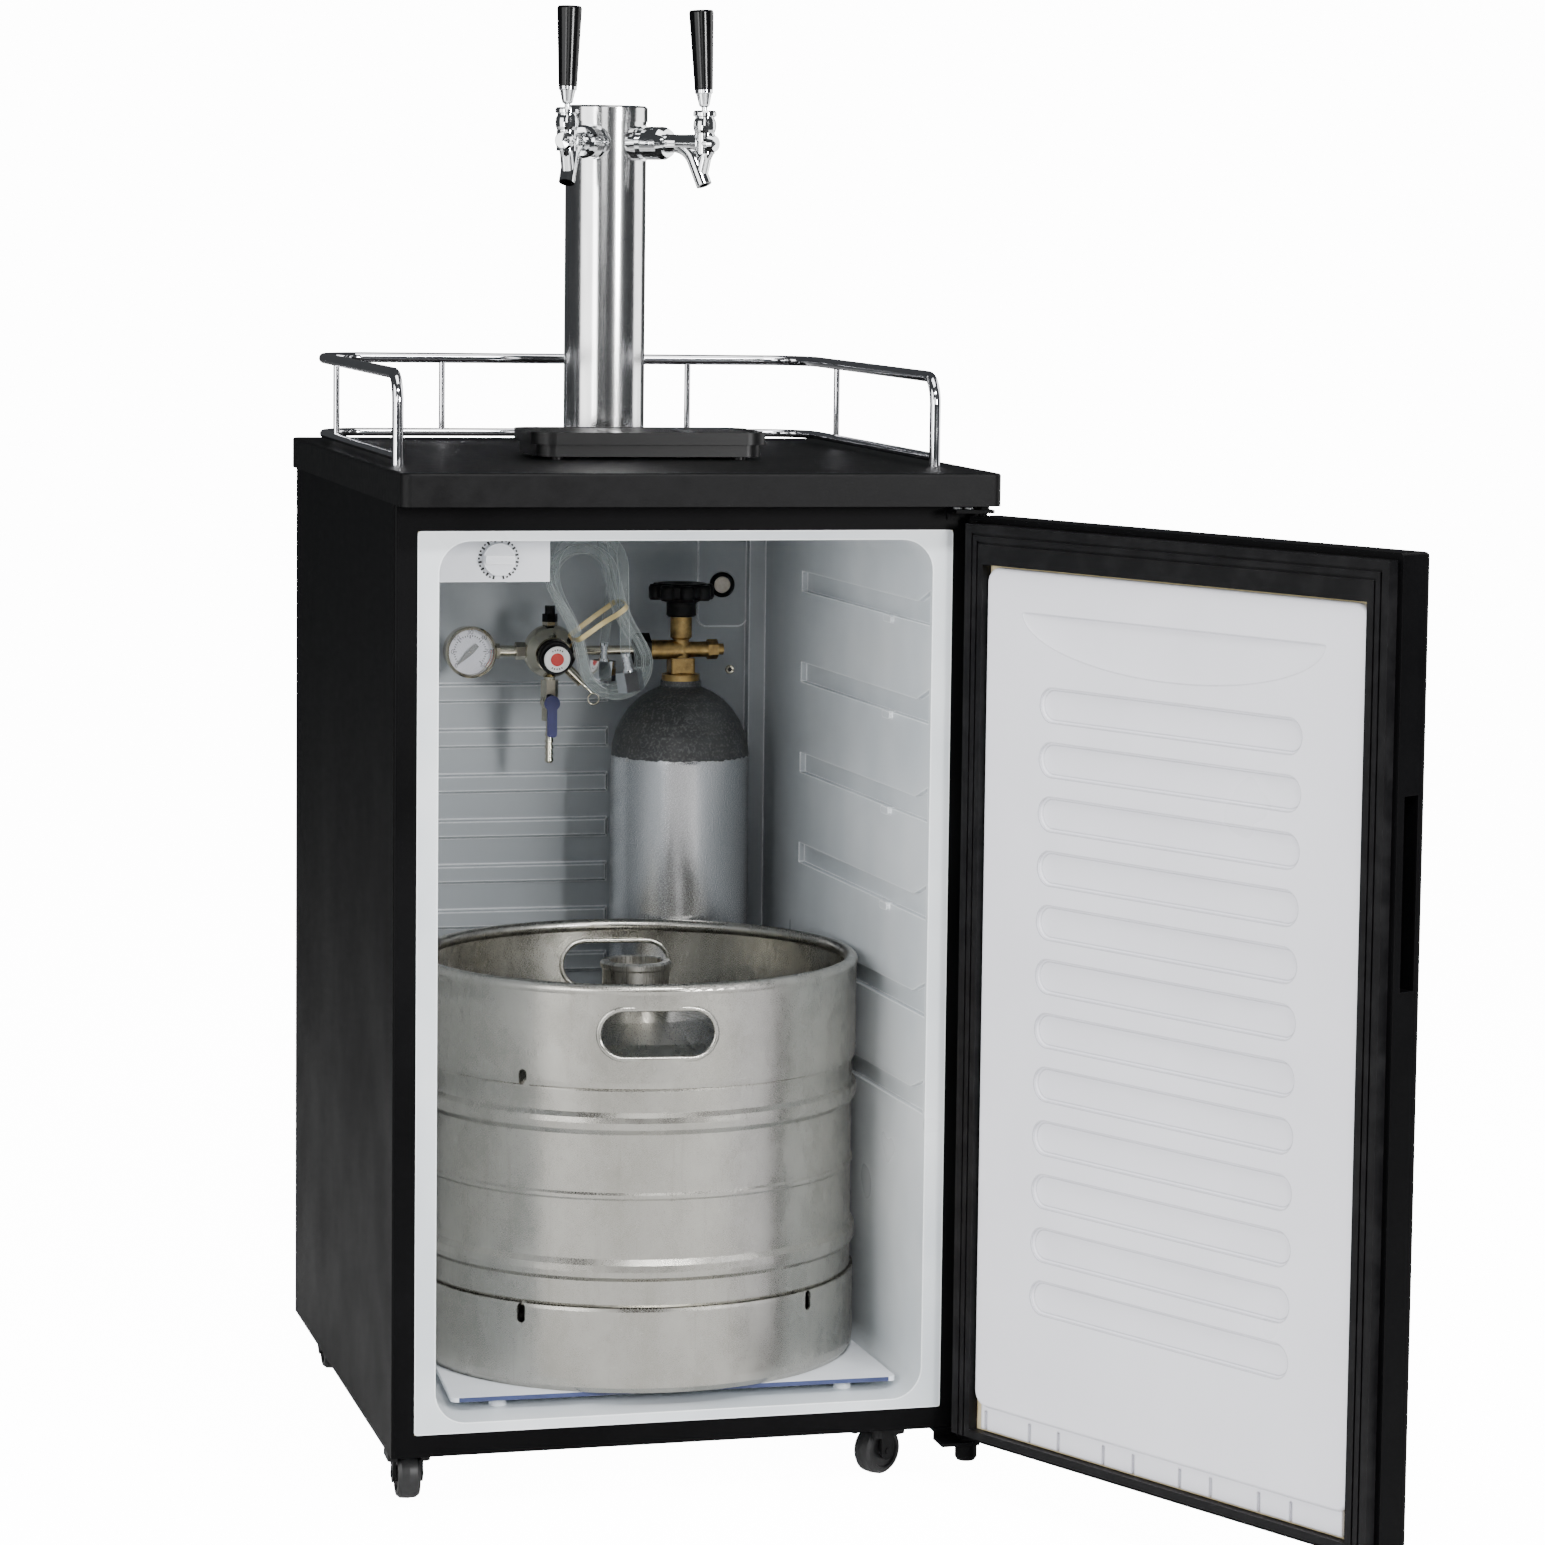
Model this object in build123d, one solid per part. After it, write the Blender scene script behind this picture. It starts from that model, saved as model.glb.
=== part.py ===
from build123d import *
import math
import os

# Twin-faucet kegerator, in millimetres. The origin is on the floor under the middle of the cabinet,
# +X to the right as seen from the front, +Y to the back and +Z up. The door hangs open at rest.

# ---- cabinet ----
CABINET_WIDTH = 528.0
CABINET_DEPTH = 585.0
CABINET_BOTTOM = 51.0
CABINET_TOP = 887.0
SHEET = 1.0
SIDE = CABINET_WIDTH / 2
FRONT = -CABINET_DEPTH / 2
BACK = CABINET_DEPTH / 2
INNER_SIDE = SIDE - SHEET

# ---- white inner liner ----
LINER_WALL = 2.0
FLANGE_X = (-244.0, 234.0)
FLANGE_Z = (70.7, 863.6)
MOUTH_X = (-225.4, 216.0)
MOUTH_Z = (80.0, 855.0)
MOUTH_RADIUS = 28.0
REAR_X = (-203.0, 193.0)
REAR_Z = (80.0, 850.0)
REAR_WALL = 252.0
REAR_RADIUS = 20.0
STEP_FRONT = 132.0
STEP_TOP = 316.0
CORNER_STRIP = 16.0
GROOVE_LEVELS = [338.0 + 88.0 * i for i in range(6)]
GROOVE_HEIGHT = 19.0
GROOVE_DEPTH = 6.0
GROOVE_END = 404.0
GROOVE_KICK = (42.0, 12.0)
RIDGE_TOP = 678.0
RIDGE_PITCH = 44.7
RIDGE_COUNT = 7
RIDGE_HEIGHT = 19.0
RIDGE_X = (-188.0, 38.0)
RIDGE_DEPTH = 5.0

# ---- worktop and line hole ----
TOP_THICKNESS = 29.0
TOP_SURFACE = CABINET_TOP + TOP_THICKNESS
TOP_X = (-266.0, 266.0)
TOP_Y = (FRONT - 46.0, BACK + 20.0)
LINE_HOLE = 30.0

# ---- door, drawn shut and then swung open ----
HINGE = (255.7, -311.5)
DOOR_REST_ANGLE = 115.0
DOOR_Z = (47.0, 877.0)
DOOR_FACE = -337.0
DOOR_BACK = -303.0
GASKET_FACE = -293.2
GASKET_X = (-258.0, 258.0)
GASKET_Z = (53.0, 871.0)
SEAL_X = (-233.5, 234.5)
SEAL_Z = (60.0, 836.0)
PANEL_X = (-232.0, 233.0)
PANEL_Z = (83.0, 834.0)
PANEL_FACE = -297.5
PIN_RADIUS = 4.0
PIN_CLEARANCE = 0.06

# ---- tower and faucets ----
TOWER_Y = 100.5
TOWER_RADIUS = 38.1
TOWER_WALL = 1.5
TOWER_TOP = 1239.0
CAP_HEIGHT = 15.0
TOWER_BOLT_CIRCLE = 95.0
SHANK_Z = 1204.0
LEVER_REACH = 115.0
LEFT_FAUCET_ANGLE = -30.0
RIGHT_FAUCET_ANGLE = 41.0
PIVOT_RISE = 21.0
HANDLE_LEAN = 3.0
PLUNGER_RADIUS = 4.0

# ---- keg, gas cylinder and regulator ----
KEG = (-2.6, -76.7)
KEG_RADIUS = 204.0
KEG_BOTTOM = 93.0
KEG_HEIGHT = 368.0
CYLINDER = (95.0, 178.5)
CYLINDER_RADIUS = 67.5
GAS_Z = 716.0
GAS_Y = CYLINDER[1]
REGULATOR_X = -35.0
REGULATOR_TILT = 8.0
GAUGE_X = -113.5
GAUGE_RADIUS = 25.0
GAUGE_STEM = 23.0

# ---- casters ----
WHEEL_RADIUS = 22.5
WHEEL_WIDTH = 20.0
CASTER_TRAIL = 12.0
STEM_RADIUS = 5.0
CASTERS = {
    # name: (stem x, stem y, heading of the trail in degrees from +X)
    "front_left": (-240.0, -222.0, 268.0),
    "front_right": (199.0, -238.0, 212.0),
    "rear_left": (-232.0, 245.0, 90.0),
    "rear_right": (232.0, 245.0, 90.0),
}

# ---- beer line ----
HOSE_RADIUS = 4.5
HANK_CENTRE = (-5.0, 97.75, 752.0)
HANK_TILT = 22.0

ON_BASE = (Align.CENTER, Align.CENTER, Align.MIN)


def block(x, y, z):
    """A box given by its low and high X, Y and Z."""
    spans = (x, y, z)
    middle = [(low + high) / 2 for low, high in spans]
    return Pos(*middle) * Box(*[high - low for low, high in spans])


def soft_block(x, y, z, radius, axis=Axis.Z):
    """A box whose edges along one axis are rounded."""
    solid = block(x, y, z)
    return fillet(solid.edges().filter_by(axis), radius)


def rod(start, direction, radius, length):
    """A round bar that starts at a point and runs along a direction."""
    return Plane(origin=start, z_dir=direction) * Cylinder(radius, length, align=ON_BASE)


def hexagon(start, direction, across_flats, length):
    """A hexagonal bar that starts at a point and runs along a direction."""
    outline = RegularPolygon(across_flats / 2, 6, major_radius=False)
    return Plane(origin=start, z_dir=direction) * extrude(outline, length)


def turned(profile, start=(0, 0, 0), direction=(0, 0, 1)):
    """A solid of revolution from (radius, height) points, set on a point along a direction."""
    outline = make_face(Polyline(*profile, close=True))
    solid = revolve(Plane.XZ * outline, Axis.Z)
    return Plane(origin=start, z_dir=direction) * solid


def tube_along(path, radius):
    """A round bar swept along a path."""
    section = Plane(origin=path @ 0, z_dir=path % 0) * Circle(radius)
    return sweep(section, path)


def at_angle(degrees):
    """Outward direction at a plan angle measured from the front (-Y) towards +X."""
    turn = math.radians(degrees)
    return (math.sin(turn), -math.cos(turn), 0)


# ---------------------------------------------------------------- cabinet


def liner_plate(x, z, y, radius):
    """A rounded rectangle standing across the cabinet at one depth."""
    plane = Plane(origin=((x[0] + x[1]) / 2, y, (z[0] + z[1]) / 2), x_dir=(1, 0, 0), z_dir=(0, -1, 0))
    return plane * RectangleRounded(x[1] - x[0], z[1] - z[0], radius)


def grown(span, margin):
    return (span[0] - margin, span[1] + margin)


def wall_plane(side):
    """Local frame of a drafted side wall: x runs to the back, y up and z out of the cabinet."""
    column = 1 if side > 0 else 0
    run = Vector(REAR_X[column] - MOUTH_X[column], REAR_WALL - FRONT, 0).normalized()
    outward = Vector(0, 0, -side).cross(run)
    return Plane(origin=(MOUTH_X[column], FRONT, 0), x_dir=run, z_dir=outward)


def shelf_groove(side, level, margin, depth):
    """A shelf groove pressed into a side wall, with its mouth turned up at the front."""
    kick_run, kick_rise = GROOVE_KICK
    low = level - margin
    high = level + GROOVE_HEIGHT + margin
    outline = [
        (6 - margin, low),
        (GROOVE_END + margin, low),
        (GROOVE_END + margin, high),
        (kick_run, high),
        (6 - margin, high + kick_rise),
    ]
    plane = wall_plane(side)
    face = make_face(Polyline(*outline, close=True))
    if plane.y_dir.Z < 0:
        face = mirror(face, about=Plane.XZ)
    return plane * (Pos(0, 0, -4) * extrude(face, depth + 4))


def liner_body(margin):
    """The space inside the liner, or with a margin the space inside its outer skin."""
    mouth = liner_plate(grown(MOUTH_X, margin), grown(MOUTH_Z, margin), FRONT, MOUTH_RADIUS + margin)
    rear = liner_plate(grown(REAR_X, margin), grown(REAR_Z, margin), REAR_WALL + margin, REAR_RADIUS + margin)
    body = loft([mouth, rear])
    step = block((-SIDE, SIDE), (STEP_FRONT + margin, BACK), (0, STEP_TOP - margin))
    body -= fillet(step.edges().filter_by(Axis.X).group_by(Axis.Z)[-1].group_by(Axis.Y)[0], 10)
    for sign, edge in ((-1, REAR_X[0]), (1, REAR_X[1])):
        near = edge - sign * (CORNER_STRIP - margin)
        strip = (min(near, edge + sign * 30), max(near, edge + sign * 30))
        body -= block(strip, (REAR_WALL - CORNER_STRIP + margin, BACK), (0, CABINET_TOP))
    return body


def liner_skin(margin):
    """The liner body with its shelf grooves."""
    body = liner_body(margin)
    for side in (-1, 1):
        for level in GROOVE_LEVELS:
            body += shelf_groove(side, level, margin, GROOVE_DEPTH + margin)
    return body


def wall_ridge(top):
    """One raised bar of the rear wall."""
    bar = block(RIDGE_X, (REAR_WALL - RIDGE_DEPTH, REAR_WALL + 1), (top - RIDGE_HEIGHT, top))
    return chamfer(bar.faces().sort_by(Axis.Y)[0].edges(), 2.5)


def shelf_stop(side, level):
    """Small nub under the middle of a shelf groove."""
    plane = wall_plane(side)
    rise = 1 if plane.y_dir.Z > 0 else -1
    nub = Pos(122, rise * (level - 3), 0) * Box(22, 7, 7)
    return plane * chamfer(nub.edges().filter_by(Axis.Z), 2)


def make_liner(skin, space):
    flange = block(FLANGE_X, (FRONT, FRONT + LINER_WALL), FLANGE_Z)
    flange = fillet(flange.edges().filter_by(Axis.Y), 3)
    liner = skin + flange - space
    for index in range(RIDGE_COUNT):
        liner += wall_ridge(RIDGE_TOP - RIDGE_PITCH * index)
    cover = block((128, 178), (REAR_WALL - 2, REAR_WALL + 1), (732, 846))
    liner += fillet(cover.edges().filter_by(Axis.Y).group_by(Axis.Z)[0], 10)
    for side in (-1, 1):
        for level in GROOVE_LEVELS[2:]:
            liner += shelf_stop(side, level) & skin
    return liner - rod((0, TOWER_Y, MOUTH_Z[1] - 10), (0, 0, 1), LINE_HOLE, 30)


def make_shell():
    """Painted steel wrap: two sides, the top and the front frame, in one bent sheet."""
    shell = block((-SIDE, SIDE), (FRONT, BACK), (CABINET_BOTTOM, CABINET_TOP))
    shell = fillet(shell.edges().filter_by(Axis.Z).group_by(Axis.Y)[0], 2.5)
    shell -= block((-INNER_SIDE, INNER_SIDE), (FRONT + SHEET, BACK + 1), (CABINET_BOTTOM - 1, CABINET_TOP - SHEET))
    shell -= block(FLANGE_X, (FRONT - 1, FRONT + 2), FLANGE_Z)
    return shell - rod((0, TOWER_Y, CABINET_TOP - 5), (0, 0, 1), LINE_HOLE, 10)


BAY_FRONT = 155.0
BAY_TOP = 296.0
BASE_PLATE = 2.0
SOCKET_HEIGHT = 24.0
SWIVELS = ("front_left", "front_right")


def make_back_panel():
    """Rear sheet that bends in over the compressor bay and down to the base."""
    rear = BACK - SHEET
    panel = block((-INNER_SIDE, INNER_SIDE), (rear, BACK), (BAY_TOP - SHEET, CABINET_TOP - SHEET))
    panel += block((-INNER_SIDE, INNER_SIDE), (BAY_FRONT, BACK), (BAY_TOP - SHEET, BAY_TOP))
    return panel + block(
        (-INNER_SIDE, INNER_SIDE), (BAY_FRONT, BAY_FRONT + SHEET), (CABINET_BOTTOM + BASE_PLATE, BAY_TOP)
    )


def make_evaporator():
    """Roll-bonded plate that presses on the back of the rear liner wall."""
    plate = block((-180, 120), (REAR_WALL + LINER_WALL, REAR_WALL + LINER_WALL + 3), (350, 720))
    for index in range(6):
        level = 380 + index * 60
        plate += block((-165, 105), (REAR_WALL + LINER_WALL + 3, REAR_WALL + LINER_WALL + 7), (level, level + 10))
    return plate


def make_foam(skin):
    """Insulation that fills the gap between the steel and the liner."""
    foam = block(
        (-INNER_SIDE, INNER_SIDE), (FRONT + SHEET, BACK - SHEET), (CABINET_BOTTOM + BASE_PLATE, CABINET_TOP - SHEET)
    )
    foam -= skin
    foam -= block(FLANGE_X, (FRONT, FRONT + LINER_WALL), FLANGE_Z)
    foam -= block((-SIDE, SIDE), (BAY_FRONT, BACK), (0, BAY_TOP))
    foam -= make_evaporator()
    for name in SWIVELS:
        foam -= rod((CASTERS[name][0], CASTERS[name][1], CABINET_BOTTOM), (0, 0, 1), STEM_RADIUS + 4, SOCKET_HEIGHT)
    return foam - rod((0, TOWER_Y, MOUTH_Z[1] - 10), (0, 0, 1), LINE_HOLE, 60)


def make_worktop():
    top = soft_block(TOP_X, TOP_Y, (CABINET_TOP, TOP_SURFACE), 9)
    top = fillet(top.faces().sort_by(Axis.Z)[-1].edges(), 2.5)
    return top - rod((0, TOWER_Y, CABINET_TOP - 1), (0, 0, 1), LINE_HOLE, TOP_THICKNESS + 2)


def make_base():
    """Base pan with a socket for each swivel caster's stem."""
    base = block(
        (-INNER_SIDE, INNER_SIDE), (FRONT + SHEET, BACK - SHEET), (CABINET_BOTTOM, CABINET_BOTTOM + BASE_PLATE)
    )
    for name in SWIVELS:
        x, y, _ = CASTERS[name]
        base += rod((x, y, CABINET_BOTTOM), (0, 0, 1), STEM_RADIUS + 4, SOCKET_HEIGHT)
        base -= rod((x, y, CABINET_BOTTOM - 1), (0, 0, 1), STEM_RADIUS + 0.05, SOCKET_HEIGHT)
    return base


COMPRESSOR = (-70.0, 222.0)


def make_compressor():
    """Hermetic compressor: domed shell on a foot plate, with its terminal box and two stubs."""
    x, y = COMPRESSOR
    base = CABINET_BOTTOM + BASE_PLATE
    shell = turned([(0, 12), (52, 12), (60, 26), (62, 60), (61, 78), (52, 108), (30, 122), (0, 126)], (x, y, base))
    foot = soft_block((x - 85, x + 85), (y - 50, y + 50), (base + 8, base + 13), 14)
    body = shell + foot
    for dx in (-72, 72):
        for dy in (-36, 36):
            body += rod((x + dx, y + dy, base), (0, 0, 1), 9, 8)
    body += soft_block((x + 48, x + 84), (y - 18, y + 18), (base + 40, base + 92), 4)
    body += rod((x - 30, y + 20, base + 100), (0, 0, 1), 5, 45)
    return body + rod((x - 52, y - 8, base + 70), (-1, 0, 0), 4, 40)


def make_condenser():
    """Serpentine condenser tube behind the back panel, with its two side straps."""
    tube = 2.6
    y = BACK + 9
    left, right = -215.0, 215.0
    levels = [350 + 46 * i for i in range(11)]
    points = []
    for index, level in enumerate(levels):
        ends = (left, right) if index % 2 == 0 else (right, left)
        points += [(ends[0], y, level), (ends[1], y, level)]
    coil = tube_along(FilletPolyline(*points, radius=20), tube)
    for x in (-150, 150):
        coil += block((x - 5, x + 5), (y - 1, y + 1), (levels[0] - 14, levels[-1] + 14))
        for level in (levels[1] + 23, levels[-2] - 23):
            coil += rod((x, BACK, level), (0, 1, 0), 4, 9)
    return coil


def make_floor_plate():
    """White board under the keg on four small clear feet, a little narrower at the back."""
    outline = Polyline((-203, -188), (203, -188), (187, 188), (-187, 188), close=True)
    plate = extrude(make_face(outline), 4)
    plate = fillet(plate.edges().filter_by(Axis.Z), 6)
    foot = KEG_BOTTOM - 4 - MOUTH_Z[0]
    for x in (-158, 158):
        for y in (-165, 165):
            plate += rod((x, y, -foot), (0, 0, 1), 8, foot)
    return Pos(1.5, -71, KEG_BOTTOM - 4) * Rot(0, 0, -1) * plate


def make_hinges():
    """Upper and lower hinge brackets with their pins."""
    x, y = HINGE
    plate_x = (228, 263)
    upper = block(plate_x, (y - 12, FRONT), (880, 883))
    upper += block(plate_x, (FRONT - 2, FRONT), (873, CABINET_TOP))
    upper += rod((x, y, 862), (0, 0, 1), PIN_RADIUS, 20)
    upper += hexagon((x, y, 883), (0, 0, 1), 10, 3)
    lower = block(plate_x, (y - 12, FRONT - 1), (41, 44))
    lower += block(plate_x, (FRONT - 3, FRONT - 0.5), (41, CABINET_BOTTOM))
    lower += block(plate_x, (FRONT - 3, FRONT + 22), (CABINET_BOTTOM - 3, CABINET_BOTTOM))
    lower += rod((x, y, 44), (0, 0, 1), PIN_RADIUS, 16)
    lower += rod((x, y, 44), (0, 0, 1), 8, 2)
    lower += turned([(0, 0), (8, 0), (10, 3), (10, 15), (0, 15)], (x - 2, y, 26))
    return [upper, lower]


def make_thermostat(space):
    """Control box in the upper left corner, and its knob."""
    box_x = (-222, -117)
    box_y = (-232.5, -150)
    housing = block(box_x, box_y, (815, 858)) & space
    inner = block((-212, -120), (box_y[0] + 3, box_y[1] - 3), (818, 848))
    housing = housing - (inner & space)
    centre = (-162.6, box_y[0], 835)
    spindle_hole = rod((centre[0], centre[1] - 1, centre[2]), (0, 1, 0), 3.06, 6)
    housing = housing - spindle_hole
    knob = turned([(0, 0.6), (14.5, 0.6), (14.5, 4), (13, 11), (0, 11)], centre, (0, -1, 0))
    knob += rod((centre[0], centre[1] - 1, centre[2]), (0, 1, 0), 3, 9)
    knob -= block(
        (centre[0] - 20, centre[0] + 20), (centre[1] - 12, centre[1] - 6), (centre[2] + 3.5, centre[2] + 20)
    )
    knob -= block(
        (centre[0] - 20, centre[0] + 20), (centre[1] - 12, centre[1] - 6), (centre[2] - 20, centre[2] - 3.5)
    )
    return housing, knob


def make_grommet():
    """Plugged gas-line grommet in the upper right of the rear wall."""
    return turned([(0, 0), (12.5, 0), (12.5, 3), (10.5, 5), (8.5, 4), (8.5, 1.5), (0, 1.5)],
                  (152, REAR_WALL - 2, 773.5), (0, -1, 0))


# ---------------------------------------------------------------- casters


def caster_place(name):
    x, y, heading = CASTERS[name]
    return Pos(x, y, 0) * Rot(0, 0, heading)


def make_fork(name, stem):
    """Caster fork in its own frame: stem on Z, wheel trailing along +X, axle along Y."""
    half = WHEEL_WIDTH / 2 + 0.6
    cheek = 3.0
    hood = soft_block((-8, 30), (-19, 19), (37, 49.5), 6)
    hood -= block((-12, 40), (-half, half), (30, 46.3))
    fork = hood
    for sign in (-1, 1):
        low = min(sign * half, sign * (half + cheek))
        arm = block((CASTER_TRAIL - 8, CASTER_TRAIL + 8), (low, low + cheek), (WHEEL_RADIUS, 40))
        eye = rod((CASTER_TRAIL, low, WHEEL_RADIUS), (0, 1, 0), 8, cheek)
        fork += arm + eye
    fork += rod((CASTER_TRAIL, -half - cheek - 1, WHEEL_RADIUS), (0, 1, 0), 3.0, 2 * (half + cheek + 1))
    if stem:
        fork += rod((0, 0, 49), (0, 0, 1), STEM_RADIUS, SOCKET_HEIGHT - 1)
        fork += rod((0, 0, 49), (0, 0, 1), 11, 1.6)
    else:
        fork += block((-8, 30), (-19, 19), (49, CABINET_BOTTOM))
    return caster_place(name) * fork


def make_wheel(name):
    """Hard rubber wheel with a dished hub and a crowned tread."""
    half = WHEEL_WIDTH / 2
    profile = [
        (3.06, -half), (7, -half), (7, -half + 2), (15, -half + 2), (16, -half), (19.5, -half),
        (WHEEL_RADIUS - 0.6, -half + 3), (WHEEL_RADIUS, 0), (WHEEL_RADIUS - 0.6, half - 3),
        (19.5, half), (16, half), (15, half - 2), (7, half - 2), (7, half), (3.06, half),
    ]
    wheel = turned(profile, (CASTER_TRAIL, 0, WHEEL_RADIUS), (0, 1, 0))
    return caster_place(name) * wheel


# ---------------------------------------------------------------- door


def swung(shape):
    """Swing a door piece from shut to its rest angle about the hinge."""
    return Pos(HINGE[0], HINGE[1], 0) * Rot(0, 0, DOOR_REST_ANGLE) * Pos(-HINGE[0], -HINGE[1], 0) * shape


def finger_pull(wall):
    """Recess in the free edge, or with a wall the cup round it."""
    reach = -SIDE - 1 if wall == 0 else -SIDE
    return block((reach, -SIDE + 16 + wall), (-327 - wall, -311 + wall), (520 - wall, 680 + wall))


def hinge_sockets(radius, depth):
    """The two round spaces in which the hinge pins turn."""
    x, y = HINGE
    top = rod((x, y, DOOR_Z[1] - depth), (0, 0, 1), radius, depth + 1)
    return top + rod((x, y, DOOR_Z[0] - 1), (0, 0, 1), radius, depth + 1)


def door_block(margin):
    """The whole door slab, or with a margin the space inside its steel, with rounded outer edges."""
    slab = block(
        grown((-SIDE, SIDE), -margin), (DOOR_FACE + margin, DOOR_BACK - margin), grown(DOOR_Z, -margin)
    )
    slab = fillet(slab.edges().filter_by(Axis.Z).group_by(Axis.Y)[0], 6 - margin)
    return fillet(slab.faces().sort_by(Axis.Y)[0].edges().filter_by(Axis.X), 4 - margin)


def make_door_skin():
    """Painted steel door pan with a return lip, pin bosses and a finger pull in its free edge."""
    whole = door_block(0)
    skin = whole - door_block(SHEET)
    skin -= block(grown((-SIDE, SIDE), -24), (DOOR_BACK - 2 * SHEET, DOOR_BACK + 1), grown(DOOR_Z, -9))
    skin += hinge_sockets(7.5, 19) & whole
    skin += finger_pull(SHEET)
    skin -= finger_pull(0)
    return skin - hinge_sockets(PIN_RADIUS + PIN_CLEARANCE, 17.5)


def make_door_foam():
    """Insulation that fills the door, with flat-sided room for the pin bosses."""
    x, y = HINGE
    foam = door_block(SHEET)
    for low in (DOOR_Z[0], DOOR_Z[1] - 19):
        foam -= block((x - 7.5, SIDE), (y - 7.5, DOOR_BACK), (low, low + 19))
    return foam - finger_pull(SHEET)


RIB_TOP = 734.0
RIB_PITCH = 47.6
RIB_COUNT = 12
RIB_HEIGHT = 30.0
RIB_LENGTH = 320.0
RIB_DEPTH = 3.6


def make_door_liner():
    """White moulded door panel with pressed ribs, an upper finger ledge and a row of edge tabs."""
    back = DOOR_BACK - SHEET
    panel = block(PANEL_X, (back, PANEL_FACE), PANEL_Z)
    panel = fillet(panel.edges().filter_by(Axis.Y), 14)
    panel = fillet(panel.faces().sort_by(Axis.Y)[-1].edges(), 3)
    middle = (PANEL_X[0] + PANEL_X[1]) / 2
    face = Plane(origin=(middle, PANEL_FACE, 0), x_dir=(1, 0, 0), z_dir=(0, -1, 0))
    for index in range(RIB_COUNT):
        level = RIB_TOP - RIB_HEIGHT / 2 - RIB_PITCH * index
        slot = extrude(SlotOverall(RIB_LENGTH, RIB_HEIGHT), RIB_DEPTH)
        slot = chamfer(slot.faces().sort_by(Axis.Z)[-1].edges(), 2.0)
        panel -= face * (Pos(0, level, 0) * slot)
    ledge = scale(Sphere(1), by=(185, 3.0, 46))
    ledge = ledge - Pos(0, 0, 60) * Box(500, 20, 120)
    panel -= Pos(middle, PANEL_FACE, 797) * ledge
    tabs = block((-224, 226), (back, DOOR_BACK + 2.4), (62, PANEL_Z[0] + 4))
    left = -224.0
    for index in range(9):
        left += 58 if index % 2 == 0 else 38
        tabs -= block((left, left + 3), (DOOR_BACK, DOOR_BACK + 3), (61, 79))
    return panel + tabs


def make_door_gasket():
    """Magnetic gasket: a solid frame with two bellows lines."""
    gasket = block(GASKET_X, (DOOR_BACK, GASKET_FACE), GASKET_Z)
    gasket -= block(SEAL_X, (DOOR_BACK - 1, GASKET_FACE + 1), SEAL_Z)
    for inset in (8.0, 15.0):
        outer = block(grown(GASKET_X, -inset), (GASKET_FACE - 2, GASKET_FACE + 1), (GASKET_Z[0] - 5, GASKET_Z[1] - inset))
        outer -= block(
            grown(GASKET_X, -inset - 2), (GASKET_FACE - 3, GASKET_FACE + 2), (GASKET_Z[0] - 6, GASKET_Z[1] - inset - 2)
        )
        gasket -= outer
    return gasket


# ---------------------------------------------------------------- worktop fittings

RAIL_X = (-250.0, 236.0)
RAIL_Y = (-221.0, 250.0)
RAIL_Z = 996.0
RAIL_RADIUS = 5.0
LOWER_ROD_Z = 924.0
LOWER_ROD_RADIUS = 4.0
POST_RADIUS = 3.0


def make_rail_tube():
    """Top tube: up from the front left foot, round the back and down to the front right foot."""
    corners = [
        (RAIL_X[0], RAIL_Y[0], TOP_SURFACE),
        (RAIL_X[0], RAIL_Y[0], RAIL_Z),
        (RAIL_X[0], RAIL_Y[1], RAIL_Z),
        (RAIL_X[1], RAIL_Y[1], RAIL_Z),
        (RAIL_X[1], RAIL_Y[0], RAIL_Z),
        (RAIL_X[1], RAIL_Y[0], TOP_SURFACE),
    ]
    return tube_along(FilletPolyline(*corners, radius=[24, 45, 45, 24]), RAIL_RADIUS)


def make_rail_rod():
    """Lower rod, its ends coped to both legs."""
    corners = [
        (RAIL_X[0], RAIL_Y[0], LOWER_ROD_Z),
        (RAIL_X[0], RAIL_Y[1], LOWER_ROD_Z),
        (RAIL_X[1], RAIL_Y[1], LOWER_ROD_Z),
        (RAIL_X[1], RAIL_Y[0], LOWER_ROD_Z),
    ]
    lower = tube_along(FilletPolyline(*corners, radius=45), LOWER_ROD_RADIUS)
    for x in RAIL_X:
        lower -= rod((x, RAIL_Y[0], TOP_SURFACE), (0, 0, 1), RAIL_RADIUS, 20)
    return lower


POST_PLACES = [(-129.0, RAIL_Y[1]), (115.0, RAIL_Y[1]), (RAIL_X[0], 130.0), (RAIL_X[1], 130.0)]


def make_rail_posts():
    """Four short posts, coped to the rod below and the tube above."""
    posts = []
    for x, y in POST_PLACES:
        along = (1, 0, 0) if y == RAIL_Y[1] else (0, 1, 0)
        start = Vector(x, y, 0) - Vector(*along) * 10
        post = rod((x, y, LOWER_ROD_Z), (0, 0, 1), POST_RADIUS, RAIL_Z - LOWER_ROD_Z)
        post -= rod((start.X, start.Y, LOWER_ROD_Z), along, LOWER_ROD_RADIUS, 20)
        posts.append(post - rod((start.X, start.Y, RAIL_Z), along, RAIL_RADIUS, 20))
    return posts


TRAY_X = (-110.0, 107.0)
TRAY_Y = (-125.0, -8.0)
TRAY_Z = (TOP_SURFACE + 3.0, 941.0)


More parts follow.
